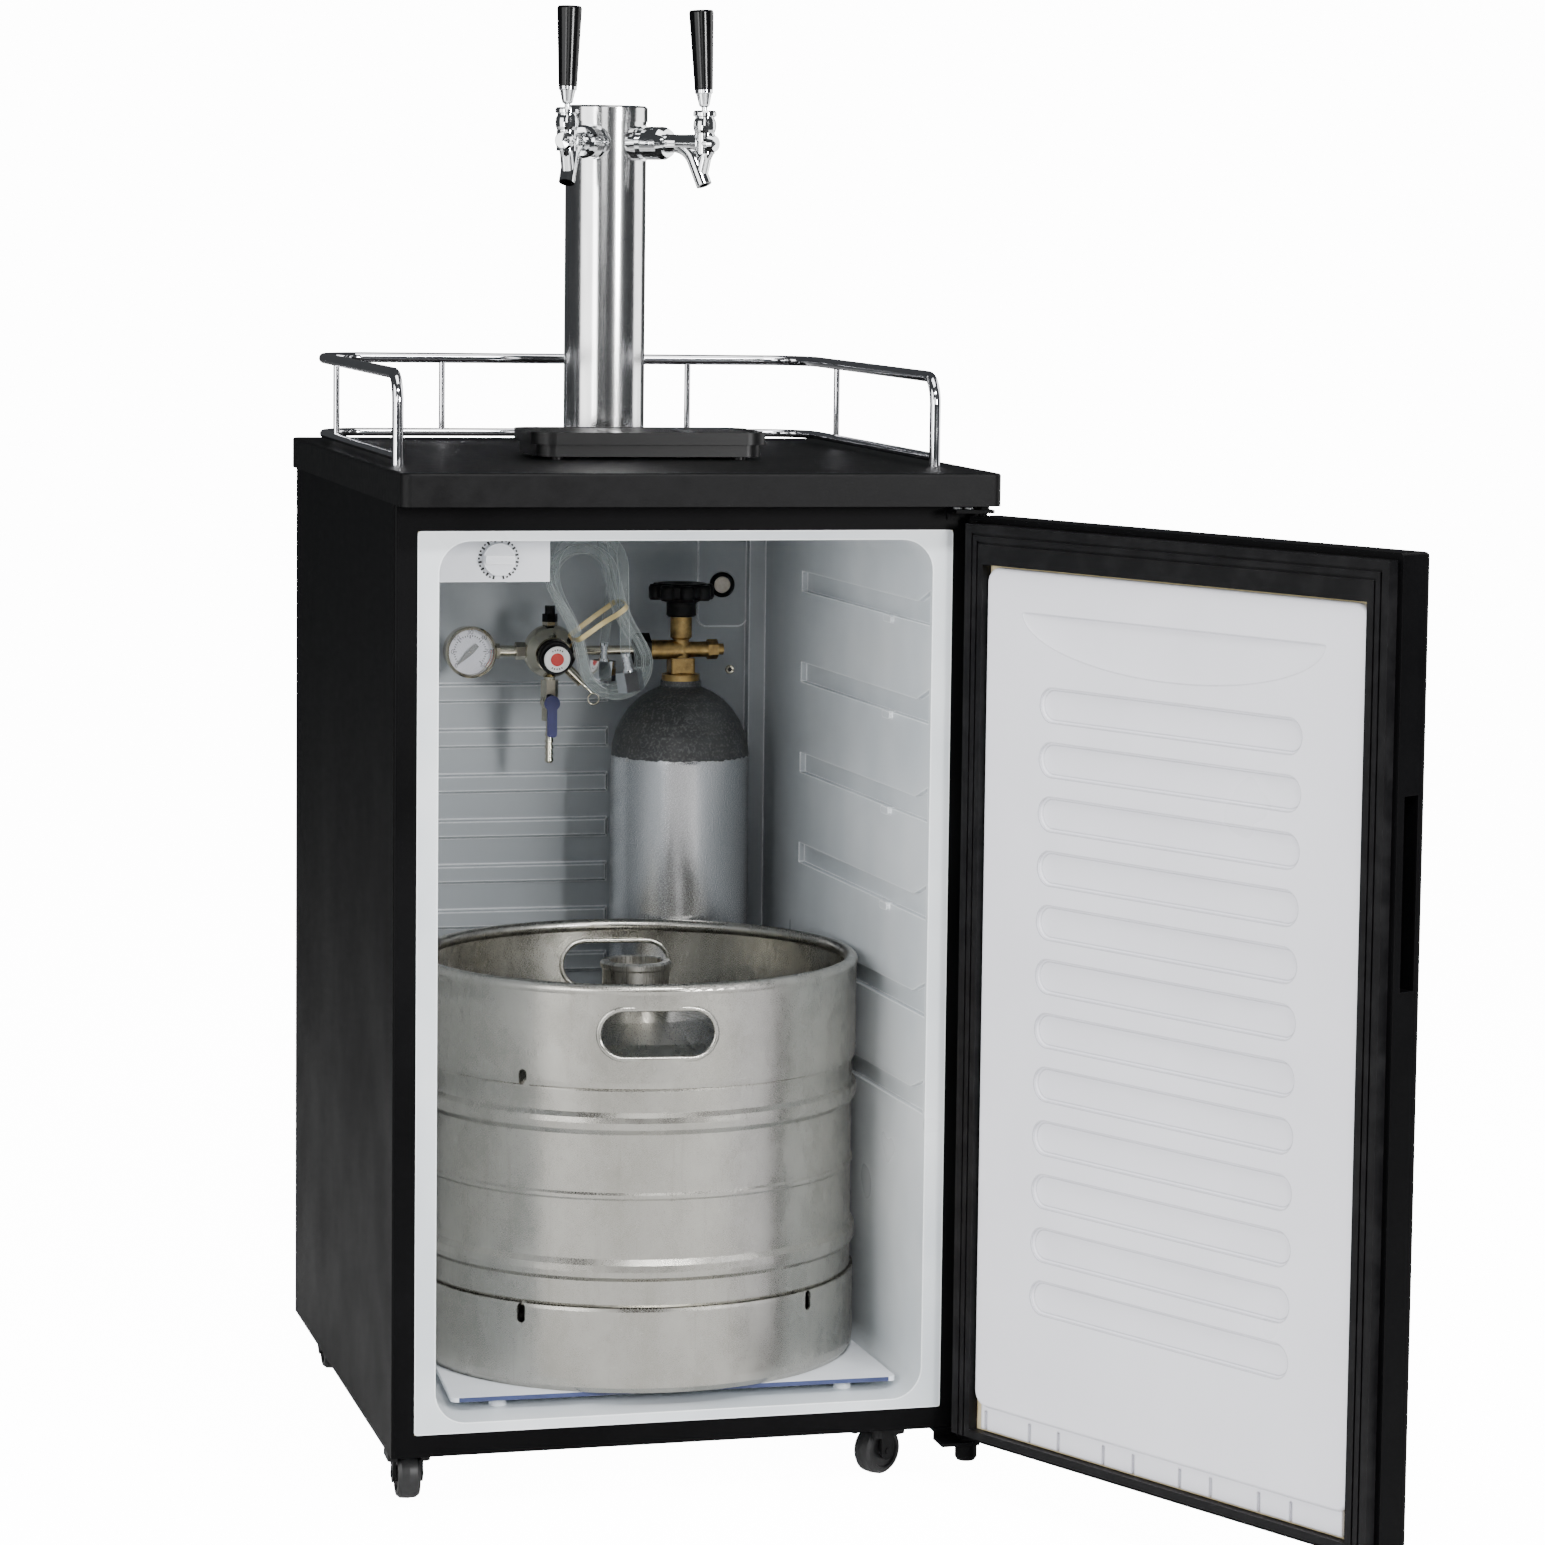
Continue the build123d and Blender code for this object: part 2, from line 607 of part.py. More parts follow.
def make_tray():
    """Drip tray: a pan with a wider rim, a ledge for its grille and four feet."""
    rim = soft_block(TRAY_X, TRAY_Y, (TRAY_Z[0] + 11, TRAY_Z[1]), 20)
    pan = soft_block(grown(TRAY_X, -5), grown(TRAY_Y, -5), (TRAY_Z[0], TRAY_Z[0] + 12), 15)
    tray = rim + pan
    tray -= soft_block(grown(TRAY_X, -9), grown(TRAY_Y, -9), (TRAY_Z[0] + 3, TRAY_Z[1] + 1), 11)
    tray -= soft_block(grown(TRAY_X, -4), grown(TRAY_Y, -4), (TRAY_Z[1] - 4, TRAY_Z[1] + 1), 16)
    for x in (TRAY_X[0] + 24, TRAY_X[1] - 24):
        for y in (TRAY_Y[0] + 20, TRAY_Y[1] - 20):
            tray += rod((x, y, TOP_SURFACE), (0, 0, 1), 6, 3)
    return tray


def make_grille():
    """Louvred grille that lies in the tray's ledge."""
    level = (TRAY_Z[1] - 4, TRAY_Z[1] - 1)
    grille = soft_block(grown(TRAY_X, -4.5), grown(TRAY_Y, -4.5), level, 15.5)
    for index in range(9):
        y = TRAY_Y[0] + 18 + index * 10
        for x in (-90, -22, 46):
            grille -= block((x, x + 56), (y - 2.5, y + 2.5), (level[0] - 1, level[1] + 1))
    return grille


def make_column():
    """Steel column with its welded foot flange, collar and two shank holes."""
    profile = [
        (TOWER_RADIUS - TOWER_WALL, TOP_SURFACE), (57, TOP_SURFACE), (57, TOP_SURFACE + 3),
        (40.5, TOP_SURFACE + 4), (40.5, TOP_SURFACE + 16), (TOWER_RADIUS, TOP_SURFACE + 17),
        (TOWER_RADIUS, TOWER_TOP - CAP_HEIGHT), (TOWER_RADIUS - TOWER_WALL, TOWER_TOP - CAP_HEIGHT),
    ]
    column = turned(profile, (0, TOWER_Y, 0))
    for angle in (LEFT_FAUCET_ANGLE, RIGHT_FAUCET_ANGLE):
        column -= rod((0, TOWER_Y, SHANK_Z), at_angle(angle), 9.2, 60)
    for quarter in (45, 135, 225, 315):
        x, y, _ = at_angle(quarter)
        reach = TOWER_BOLT_CIRCLE / 2
        column -= rod((x * reach, TOWER_Y + y * reach, TOP_SURFACE - 1), (0, 0, 1), 2.75, 6)
    return column


def make_cap():
    low = TOWER_TOP - CAP_HEIGHT
    profile = [
        (0, TOWER_TOP - 3), (34, TOWER_TOP - 3), (34, low - 5), (TOWER_RADIUS - TOWER_WALL, low - 5),
        (TOWER_RADIUS - TOWER_WALL, low), (TOWER_RADIUS + 1.2, low), (TOWER_RADIUS + 1.2, TOWER_TOP - 2),
        (TOWER_RADIUS - 1, TOWER_TOP), (0, TOWER_TOP),
    ]
    return turned(profile, (0, TOWER_Y, 0))


# ---------------------------------------------------------------- faucets, drawn along +X at the shank height


def faucet_place(angle):
    return Pos(0, TOWER_Y, SHANK_Z) * Rot(0, 0, angle - 90)


def shank_piece():
    """Threaded shank with its outer flange, inner lock nut and down-turned tail."""
    shank = rod((23, 0, 0), (1, 0, 0), 9, 33)
    saddle = rod((34, 0, 0), (1, 0, 0), 16.5, 11) - Cylinder(TOWER_RADIUS, 60)
    shank += saddle
    shank += rod((44, 0, 0), (1, 0, 0), 13, 4)
    nut = hexagon((24, 0, 0), (1, 0, 0), 24, 8) & Cylinder(TOWER_RADIUS - TOWER_WALL, 60)
    shank += nut
    shank += rod((15, 0, 0), (1, 0, 0), 4.5, 9)
    shank += Pos(15, 0, 0) * Sphere(4.5)
    return shank + rod((15, 0, 0), (0, 0, -1), 4.5, 22)


def collar_piece():
    """Coupling nut with spanner dimples."""
    nut = turned([(9.2, 0), (13.5, 0), (15.5, 2), (15.5, 20), (13, 25), (9.2, 25)], (48, 0, 0), (1, 0, 0))
    for step in range(6):
        turn = math.radians(60 * step)
        away = (0, math.cos(turn), math.sin(turn))
        nut -= rod((60, away[1] * 13.2, away[2] * 13.2), away, 2.2, 4)
    return nut


def faucet_outline():
    """Outside of the faucet body: neck, head, nose and the spout with its front web."""
    body = turned([(0, 0), (9.1, 0), (9.1, 17), (8.6, 22), (8.2, 30), (8.4, 48), (9.5, 55), (0, 55)], (56, 0, 0), (1, 0, 0))
    body += rod((LEVER_REACH, 0, -9.5), (0, 0, 1), 9.5, 19)
    body += turned([(0, 0), (9, 0), (9, 8), (7, 12.5), (0, 13.5)], (LEVER_REACH, 0, 0), (1, 0, 0))
    spout = FilletPolyline((80, 0, -0.5), (99, 0, -5), (115, 0, -38.5), radius=26)
    body += tube_along(spout, 7.4)
    web = FilletPolyline((LEVER_REACH + 7, 0, -2), (LEVER_REACH + 1, 0, -12), (LEVER_REACH - 3, 0, -28), radius=16)
    return body + tube_along(web, 6.0)


def faucet_piece():
    """Hollow faucet body: plunger bore along it and a spout bore down."""
    body = faucet_outline()
    body -= rod((62, 0, 0), (1, 0, 0), PLUNGER_RADIUS + 0.06, LEVER_REACH + 10 - 62)
    body -= tube_along(FilletPolyline((84, 0, -1.4), (99, 0, -5), (117.6, 0, -43.9), radius=26), 4.6)
    body -= rod((LEVER_REACH, 0, 0), (0, 0, 1), 8.0, 12)
    body -= block((LEVER_REACH - 10, LEVER_REACH), (-2.6, 2.6), (0, 10))
    return body - block((LEVER_REACH - 12, LEVER_REACH), (-2.6, 2.6), (0, 6.5))


def bonnet_piece():
    """Bonnet and collar ring round the lever ball, flared so the lever can swing forward."""
    bonnet = turned([(0, 9.5), (9.0, 9.5), (10.3, 12.5), (10.7, 16.5), (10.3, 20.5), (8.9, 23.4), (8.9, 24.6),
                     (10.8, 25.6), (10.8, 28.6), (9.6, 30.5), (0, 30.5)], (LEVER_REACH, 0, 0))
    bonnet -= Pos(LEVER_REACH, 0, PIVOT_RISE) * Sphere(5.5)
    throat = turned([(0, -12), (8, -12), (3.4, -2), (3.4, 0), (8.8, 10.5), (0, 10.5)],
                    (LEVER_REACH, 0, PIVOT_RISE))
    return bonnet - throat


FERRULE_TOP = 28.5


def lever_piece():
    """Lever with its ball, the finger that drives the plunger and the ferrule under the handle."""
    lever = Sphere(5.0)
    lever += turned([(0, -20.5), (1.4, -20.5), (1.6, -19), (1.6, 0), (0, 0)])
    lever += turned([(0, 0), (2.6, 0), (2.6, 12.4), (4.5, 13.6), (5.0, 15), (7.2, 25), (8.3, 25.6),
                     (8.3, FERRULE_TOP), (0, FERRULE_TOP)])
    return Pos(LEVER_REACH, 0, PIVOT_RISE) * Rot(0, -HANDLE_LEAN, 0) * lever


def handle_piece():
    """Tapered tap handle."""
    handle = turned([(0, 0), (8.3, 0), (8.6, 1), (11.35, 68), (11.5, 71.4), (10.6, 73.6), (0, 74)])
    return Pos(LEVER_REACH, 0, PIVOT_RISE) * Rot(0, -HANDLE_LEAN, 0) * Pos(0, 0, FERRULE_TOP) * handle


def plunger_piece():
    """Plunger with its slot for the lever finger and the seal at its rear end."""
    plunger = rod((78, 0, 0), (1, 0, 0), PLUNGER_RADIUS, 44)
    return plunger - block((LEVER_REACH - 4.5, LEVER_REACH + 4.5), (-2.2, 2.2), (-2.2, 6))


# ---------------------------------------------------------------- keg

NECK_OUTER = 31.0
COUPLER_BORE = 25.0
SLOT_ANGLES = (-41.5, 38.5, 138.5, 218.5)
HAND_ANGLES = (-6.5, 173.5)


def radial_cut(angle, z, width, height, reach):
    """An upright rounded slot pushed out from the keg axis."""
    plane = Plane(origin=(0, 0, z), x_dir=at_angle(angle + 90), z_dir=at_angle(angle))
    radius = min(width, height) / 2 - 0.01
    return plane * (Pos(0, 0, reach[0]) * extrude(RectangleRounded(width, height, radius), reach[1] - reach[0]))


def make_keg_shell():
    """Pressure vessel: two dished halves with rolling ribs and a seam, hollow inside."""
    wall = 1.6
    side = [
        (199, 74), (201, 80), (201, 101), (204.5, 105), (205, 110), (204.5, 116), (201, 121), (200.5, 174),
        (202, 176), (202, 179), (200.5, 181), (200.5, 233), (204.5, 238), (205, 244), (204.5, 249), (201, 253),
        (201, 272), (199, 277),
    ]
    outer = [(0, 26), (90, 30), (150, 42), (185, 58)] + side
    outer += [(186, 292), (150, 305), (90, 315), (31, 319), (0, 319)]
    inner = [(0, 26 + wall), (90, 30 + wall), (150, 42 + wall), (184, 58 + wall)]
    inner += [(radius - wall, height) for radius, height in side]
    inner += [(185, 292 - wall), (150, 305 - wall), (90, 315 - wall), (NECK_OUTER, 319 - wall), (0, 319 - wall)]
    shell = turned(outer) - turned(inner) - rod((0, 0, 310), (0, 0, 1), NECK_OUTER, 12)
    return Pos(KEG[0], KEG[1], KEG_BOTTOM) * shell


def make_keg_chimes():
    """Top collar with a rolled rim and two hand holes, and the bottom skirt with its drain slots."""
    outer = KEG_RADIUS
    inner = KEG_RADIUS - 2.2
    collar = turned([(inner - 1, 275), (outer - 0.5, 275), (outer, 280), (outer, 360), (inner, 360), (inner, 280)])
    collar += Pos(0, 0, 362) * Torus(KEG_RADIUS - 5, 6)
    for angle in HAND_ANGLES:
        collar -= radial_cut(angle, 324, 105, 45, (150, 230))
    collar -= radial_cut(SLOT_ANGLES[0], 280, 8, 16, (150, 230))
    skirt = turned([
        (inner - 4, 0), (outer - 4, 0), (outer - 0.6, 5), (outer, 12), (outer, 74), (outer - 0.5, 77),
        (inner - 1, 77), (inner - 1, 72), (inner, 70), (inner, 12), (inner - 4, 5),
    ])
    for angle in SLOT_ANGLES:
        skirt -= radial_cut(angle, 68, 8, 18, (150, 230))
    place = Pos(KEG[0], KEG[1], KEG_BOTTOM)
    return [place * collar, place * skirt]


def make_keg_valve():
    """Neck welded in the keg's top, with the spear valve in it and room for a coupler above."""
    neck = turned([(27, 316), (NECK_OUTER, 316), (NECK_OUTER, 351), (33, 353), (33, 357), (31, 359), (26, 359),
                   (COUPLER_BORE, 358), (COUPLER_BORE, 340), (27, 338)])
    valve = turned([(0, 336), (14, 336), (14, 340), (COUPLER_BORE, 340), (COUPLER_BORE, 347.5), (0, 347.5)])
    valve += neck + turned([(0, 60), (8, 60), (8, 336), (0, 336)])
    return Pos(KEG[0], KEG[1], KEG_BOTTOM) * valve


# ---------------------------------------------------------------- gas cylinder and valve

NECK_Z = 683.0
SHOULDER_Z = 610.0
SHOULDER_RISE = 73.0


def shoulder(radius, rise, low, steps=7):
    """Points of a quarter ellipse from the side wall up to the neck."""
    points = []
    for step in range(steps + 1):
        turn = math.radians(72) * step / steps
        points.append((radius * math.cos(turn), low + rise * math.sin(turn)))
    return points


def make_cylinder():
    """Gas cylinder with a dished base, hollow inside."""
    wall = 3.5
    neck = 19.5
    outer = [(0, STEP_TOP + 10), (40, STEP_TOP + 8), (54, STEP_TOP), (62, STEP_TOP), (CYLINDER_RADIUS, STEP_TOP + 7)]
    outer += shoulder(CYLINDER_RADIUS, SHOULDER_RISE, SHOULDER_Z)
    outer += [(neck, NECK_Z - 2), (neck, NECK_Z + 3), (0, NECK_Z + 3)]
    inner = [(0, STEP_TOP + 16), (40, STEP_TOP + 14), (56, STEP_TOP + 7), (CYLINDER_RADIUS - wall, STEP_TOP + 12)]
    inner += shoulder(CYLINDER_RADIUS - wall, SHOULDER_RISE - wall, SHOULDER_Z)
    inner += [(11, NECK_Z - 6), (11, NECK_Z + 4), (0, NECK_Z + 4)]
    return Pos(CYLINDER[0], CYLINDER[1], 0) * (turned(outer) - turned(inner))


BONNET_TOP = 748.0


def make_gas_valve():
    """Brass cylinder valve: neck, square base, spindle bonnet, outlet and burst disc."""
    low = NECK_Z + 3
    x, y = CYLINDER
    body = turned([(0, low - 14), (10.8, low - 14), (10.8, low), (18.5, low), (18.5, low + 6), (12, low + 8),
                   (7.8, low + 24), (7.8, 726), (10.5, 728), (10.5, BONNET_TOP), (0, BONNET_TOP)], (x, y, 0))
    body += soft_block((x - 12, x + 12), (y - 12, y + 12), (low + 6, low + 22), 3)
    body += rod((x, y, GAS_Z), (-1, 0, 0), 9.5, 40)
    body += rod((x, y, GAS_Z), (1, 0, 0), 7.5, 34)
    body += hexagon((x + 26, y, GAS_Z), (1, 0, 0), 17, 10)
    body += rod((x + 30, y, GAS_Z), (1, 0, 0), 5.5, 12)
    return body - rod((x, y, BONNET_TOP - 18), (0, 0, 1), 4.06, 19)


def make_handwheel():
    """Lobed handwheel with its spindle."""
    x, y = CYLINDER
    lobes = 8
    wheel = turned([(0, 0.4), (13, 0.4), (14.5, 2), (14.5, 14), (25, 18), (27, 20), (27, 30), (24, 33), (12, 33),
                    (0, 31)])
    for index in range(lobes):
        turn = 2 * math.pi * index / lobes
        lobe = turned([(0, 17), (6, 17), (7.5, 19.5), (7.5, 29), (6, 32), (0, 32)])
        wheel += Pos(25 * math.cos(turn), 25 * math.sin(turn), 0) * lobe
    wheel += rod((0, 0, -16), (0, 0, 1), 4, 17)
    return Pos(x, y, BONNET_TOP) * wheel


# ---------------------------------------------------------------- regulator set


VALVE_TOP = 688.0
BALL_Z = 666.0
RELIEF_RING = (8.5, 668.6)


def regulator_face():
    """Direction in which the regulator's dome points: forward and a little down."""
    tilt = math.radians(REGULATOR_TILT)
    return Vector(0, -math.cos(tilt), -math.sin(tilt))


def make_regulator():
    """Regulator body with its dome, ports, top plug and relief valve branch."""
    x, y, z = REGULATOR_X, GAS_Y, GAS_Z
    face = regulator_face()
    body = turned([(0, -14), (17, -14), (24, -9), (26, -2), (26, 4), (24.5, 9), (19, 15), (17, 17), (17, 22),
                   (0, 22)], (x, y, z), face)
    body -= rod(tuple(Vector(x, y, z) + face * 12), face, 4.06, 12)
    body += rod((x, y, z), (-1, 0, 0), 5.5, x - GAUGE_X - GAUGE_STEM - 6)
    body += hexagon((x - 25, y, z), (-1, 0, 0), 15, 9)
    body += rod((x, y, z), (1, 0, 0), 4.5, 88)
    body += hexagon((x + 24, y, z), (1, 0, 0), 14, 8)
    body += rod((x, y, z), (0, 0, 1), 5, 44)
    body += hexagon((x, y, z + 25), (0, 0, 1), 13, 11)
    body += rod((x, y, z), (0, 0, -1), 5.5, z - VALVE_TOP)
    slope = (1, 0, -1)
    branch = rod((x + 16, y, z - 16), slope, 5.2, 22)
    branch -= rod((x + 24, y, z - 24), slope, 2.06, 20)
    return body + branch


def make_regulator_knob():
    """Adjusting knob: a dark ring and a raised cap on one spindle."""
    face = regulator_face()
    centre = Vector(REGULATOR_X, GAS_Y, GAS_Z)
    knob = turned([(0, 22.4), (14, 22.4), (16.5, 24), (16.5, 31), (15.5, 32.5), (13.4, 32.5), (13, 37), (0, 37)],
                  tuple(centre), face)
    return knob + rod(tuple(centre + face * 13), face, 4, 10)


def make_inlet_nut():
    """Coupling nut that draws the regulator onto the cylinder valve."""
    start = 49.0
    nut = hexagon((start, GAS_Y, GAS_Z), (1, 0, 0), 28.6, 14)
    nut -= rod((start - 1, GAS_Y, GAS_Z), (1, 0, 0), 4.5, 20)
    return nut - rod((start + 4, GAS_Y, GAS_Z), (1, 0, 0), 9.5, 20)


def make_gauge():
    """Gauge case with its stem and centre pin."""
    centre = (GAUGE_X, GAS_Y, GAS_Z)
    front = (0, -1, 0)
    case = turned([(0, -12), (22, -12), (24, -10), (24, 4), (GAUGE_RADIUS, 5), (GAUGE_RADIUS, 10), (23.5, 11),
                   (22, 11), (22, 3), (0, 3)], centre, front)
    case += hexagon((GAUGE_X + GAUGE_STEM, GAS_Y, GAS_Z), (1, 0, 0), 13, 6)
    return case + rod((GAUGE_X, GAS_Y - 2, GAS_Z), front, 0.9, 4.5)


def make_needle():
    """Pointer at the low end of its scale, with a counterweight tail."""
    pointer = Pos(0, 0, 9) * Box(1.4, 0.7, 18) + Pos(0, 0, -4) * Box(3, 0.7, 8)
    pointer += rod((0, 0.7, 0), (0, -1, 0), 2.6, 1.4)
    pointer -= rod((0, 2, 0), (0, -1, 0), 0.96, 4)
    return Pos(GAUGE_X, GAS_Y - 5, GAS_Z) * Rot(0, -135, 0) * pointer


def make_shutoff():
    """Ball valve with a hose barb below the regulator."""
    x, y = REGULATOR_X, GAS_Y
    body = hexagon((x, y, BALL_Z + 5), (0, 0, 1), 15, VALVE_TOP - BALL_Z - 5)
    body += turned([(0, -8.6), (4.5, -8.6), (7.6, -5.4), (9, -1.6), (9, 1.6), (7.6, 5.4), (4.5, 8.6), (0, 8.6)],
                   (x, y, BALL_Z))
    body += rod((x, y, BALL_Z), (0, -1, 0), 5, 12)
    body += hexagon((x, y, BALL_Z - 18), (0, 0, 1), 13, 12)
    body -= rod((x, y - 6, BALL_Z), (0, -1, 0), 2.06, 7)
    barb = [(0, 607), (3.2, 607)]
    for index in range(5):
        low = 609 + index * 6
        barb += [(4.4, low), (3.2, low + 5.5)]
    barb += [(3.2, BALL_Z - 17), (0, BALL_Z - 17)]
    return body + turned(barb, (x, y, 0))


def make_shutoff_lever():
    """Lever handle of the ball valve, hanging down in the open position."""
    x, y = REGULATOR_X, GAS_Y - 12.4
    lever = rod((x, y, BALL_Z), (0, -1, 0), 7.6, 3)
    lever += soft_block((x - 4.8, x + 4.8), (y - 3, y), (BALL_Z - 33, BALL_Z), 3, Axis.Y)
    return lever + rod((x, y + 6, BALL_Z), (0, -1, 0), 2, 7)


def make_relief_ring():
    """Relief valve stem and the pull ring through its eye."""
    slope = Vector(1, 0, -1).normalized()
    base = Vector(REGULATOR_X + 16, GAS_Y, GAS_Z - 16)
    stem = rod(tuple(base + slope * 14), slope, 2, 14) + rod(tuple(base + slope * 27), slope, 1, 9.5)
    loop = Plane(origin=(RELIEF_RING[0], GAS_Y, RELIEF_RING[1]), z_dir=(0, 1, 0)) * Torus(5.4, 0.8)
    return stem + loop


# ---------------------------------------------------------------- beer lines


LINE_OFFSET = 15.0


def tower_line(angle):
    """Hose stretch inside the tower, from the shank tail to the liner ceiling."""
    x, y, _ = at_angle(angle)
    start = (x * LINE_OFFSET, TOWER_Y + y * LINE_OFFSET, MOUTH_Z[1])
    return rod(start, (0, 0, 1), HOSE_RADIUS, SHANK_Z - 22 - MOUTH_Z[1])


def hose_route(points):
    """Straight runs joined by the largest tangent arcs that they allow."""
    radii = []
    for before, corner, after in zip(points, points[1:], points[2:]):
        arriving = Vector(*corner) - Vector(*before)
        leaving = Vector(*after) - Vector(*corner)
        half_turn = math.radians(arriving.get_angle(leaving)) / 2
        radii.append(0.45 * min(arriving.length, leaving.length) / math.tan(half_turn))
    print("hose radii", [round(radius, 1) for radius in radii])
    return FilletPolyline(*points, radius=radii)


def ceiling_point(angle):
    x, y, _ = at_angle(angle)
    return (x * LINE_OFFSET, TOWER_Y + y * LINE_OFFSET, MOUTH_Z[1])


LEFT_DROP = [ceiling_point(LEFT_FAUCET_ANGLE), (-4, 92, 830), (5.5, 100, 806)]
RIGHT_DROP = [ceiling_point(RIGHT_FAUCET_ANGLE), (8.5, 90.5, 830), (7.8, 92.5, 806)]
FRONT_TAIL = [
    (-51, 78.5, 785), (-51, 76.5, 822), (-18, 75, 842), (15, 73.5, 822), (15, 71, 784), (14.5, 65.5, 750),
    (14.4, 60, 723.4)
]
REAR_TAIL = [
    (-49, 117.5, 785), (-49, 119.5, 822), (-17, 121, 842), (15, 122.5, 822), (14, 125, 785), (11.5, 130, 755),
    (9.9, 135, 727)
]
FRONT_NUT = (20.6, 60.0, 688.0)
FRONT_NUT_TILT = -10.0
REAR_NUT = (8.0, 135.0, 691.0)
REAR_NUT_TILT = 3.0
HANK_DEPTH = 46.0
HANK_OUTER = (156.0, 71.0)
HANK_INNER = (133.0, 48.0)
WAIST_RADIUS = 60.0
WAIST_BITE = 8.0


def make_line_runs():
    """Free hose outside the hank: two drops from the ceiling and two tails to their nuts."""
    return [tube_along(hose_route(route), HOSE_RADIUS) for route in (LEFT_DROP, RIGHT_DROP, FRONT_TAIL, REAR_TAIL)]


def make_hank():
    """Outer shape of the looped hose: a tilted flat ring, drawn in at its waist."""
    wall = (HANK_OUTER[1] - HANK_INNER[1]) / 2
    outer = SlotOverall(*HANK_OUTER)
    inner = SlotOverall(*HANK_INNER)
    for side in (-1, 1):
        centre = Pos(0, side * (HANK_OUTER[1] / 2 + WAIST_RADIUS - WAIST_BITE))
        outer -= centre * Circle(WAIST_RADIUS)
        inner -= centre * Circle(WAIST_RADIUS + wall)
    loop = extrude(outer - inner, HANK_DEPTH / 2, both=True)
    plane = Plane(origin=HANK_CENTRE, x_dir=(1, 0, 0), z_dir=(0, -1, 0))
    return plane * (Rot(0, 0, 90 + HANK_TILT) * loop)


def make_line_nuts():
    """Swivel nut and barbed tail on the end of each hose."""
    barb = [(0, 18), (5, 18), (5, 21), (4.2, 21), (3, 25), (4.2, 25), (3, 29), (4.2, 29), (3, 33), (4.4, 33),
            (4.4, 36), (0, 36)]
    nut = hexagon((0, 0, 0), (0, 0, 1), 22, 19) + turned(barb)
    return [
        Pos(*place) * Rot(0, tilt, 0) * nut
        for place, tilt in ((FRONT_NUT, FRONT_NUT_TILT), (REAR_NUT, REAR_NUT_TILT))
    ]


# ---------------------------------------------------------------- write the pieces


def build_parts():
    space = liner_skin(0)
    skin = liner_skin(LINER_WALL)
    housing, knob = make_thermostat(liner_body(0))
    parts = {
        "cabinet_shell": make_shell(),
        "cabinet_back_panel": make_back_panel(),
        "cabinet_liner": make_liner(skin, space),
        "cabinet_foam": make_foam(skin),
        "worktop": make_worktop(),
        "base_tray": make_base(),
        "compressor": make_compressor(),
        "condenser_coil": make_condenser(),
        "evaporator_plate": make_evaporator(),
        "door_hinges": make_hinges(),
        "thermostat_housing": housing,
        "thermostat_knob": knob,
        "line_grommet": make_grommet(),
        "floor_plate": make_floor_plate(),
        "rear_caster_forks": [make_fork("rear_left", False), make_fork("rear_right", False)],
        "door_skin": swung(make_door_skin()),
        "door_foam": swung(make_door_foam()),
        "door_liner": swung(make_door_liner()),
        "door_gasket": swung(make_door_gasket()),
        "guard_rail_tube": make_rail_tube(),
        "guard_rail_lower_rod": make_rail_rod(),
        "guard_rail_posts": make_rail_posts(),
        "drip_tray": make_tray(),
        "drip_grille": make_grille(),
        "tower_column": make_column(),
        "tower_cap": make_cap(),
        "keg_shell": make_keg_shell(),
        "keg_chimes": make_keg_chimes(),
        "keg_valve": make_keg_valve(),
        "co2_cylinder": make_cylinder(),
        "co2_valve": make_gas_valve(),
        "co2_handwheel": make_handwheel(),
        "regulator_body": make_regulator(),
        "regulator_knob": make_regulator_knob(),
        "regulator_inlet_nut": make_inlet_nut(),
        "gauge_case": make_gauge(),
        "gauge_needle": make_needle(),
        "shutoff_valve": make_shutoff(),
        "shutoff_lever": make_shutoff_lever(),
        "relief_ring": make_relief_ring(),
        "tower_beer_lines": [tower_line(LEFT_FAUCET_ANGLE), tower_line(RIGHT_FAUCET_ANGLE)],
        "beer_line_runs": make_line_runs(),
        "beer_line_hank": make_hank(),
        "beer_line_nuts": make_line_nuts(),
    }
    for name in ("front_left", "front_right"):
        parts[name + "_caster_fork"] = make_fork(name, True)
    for name in CASTERS:
        parts[name + "_wheel"] = make_wheel(name)
    places = {"left": faucet_place(LEFT_FAUCET_ANGLE), "right": faucet_place(RIGHT_FAUCET_ANGLE)}
    shared = {
        "faucet_shanks": shank_piece(),
        "faucet_collars": collar_piece(),
        "faucet_bodies": faucet_piece(),
        "faucet_bonnets": bonnet_piece(),
    }
    for node, piece in shared.items():
        parts[node] = [place * piece for place in places.values()]
    for side, place in places.items():
        parts[side + "_faucet_lever"] = place * lever_piece()
        parts[side + "_tap_handle"] = place * handle_piece()
        parts[side + "_faucet_plunger"] = place * plunger_piece()
    return parts


def write_parts(parts):
    os.makedirs("parts", exist_ok=True)
    for node, shape in parts.items():
        solid = Compound(children=shape) if isinstance(shape, list) else shape
        export_step(solid, "parts/" + node + ".step")


write_parts(build_parts())
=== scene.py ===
import bmesh
import bpy
import math
from mathutils import Matrix, Vector


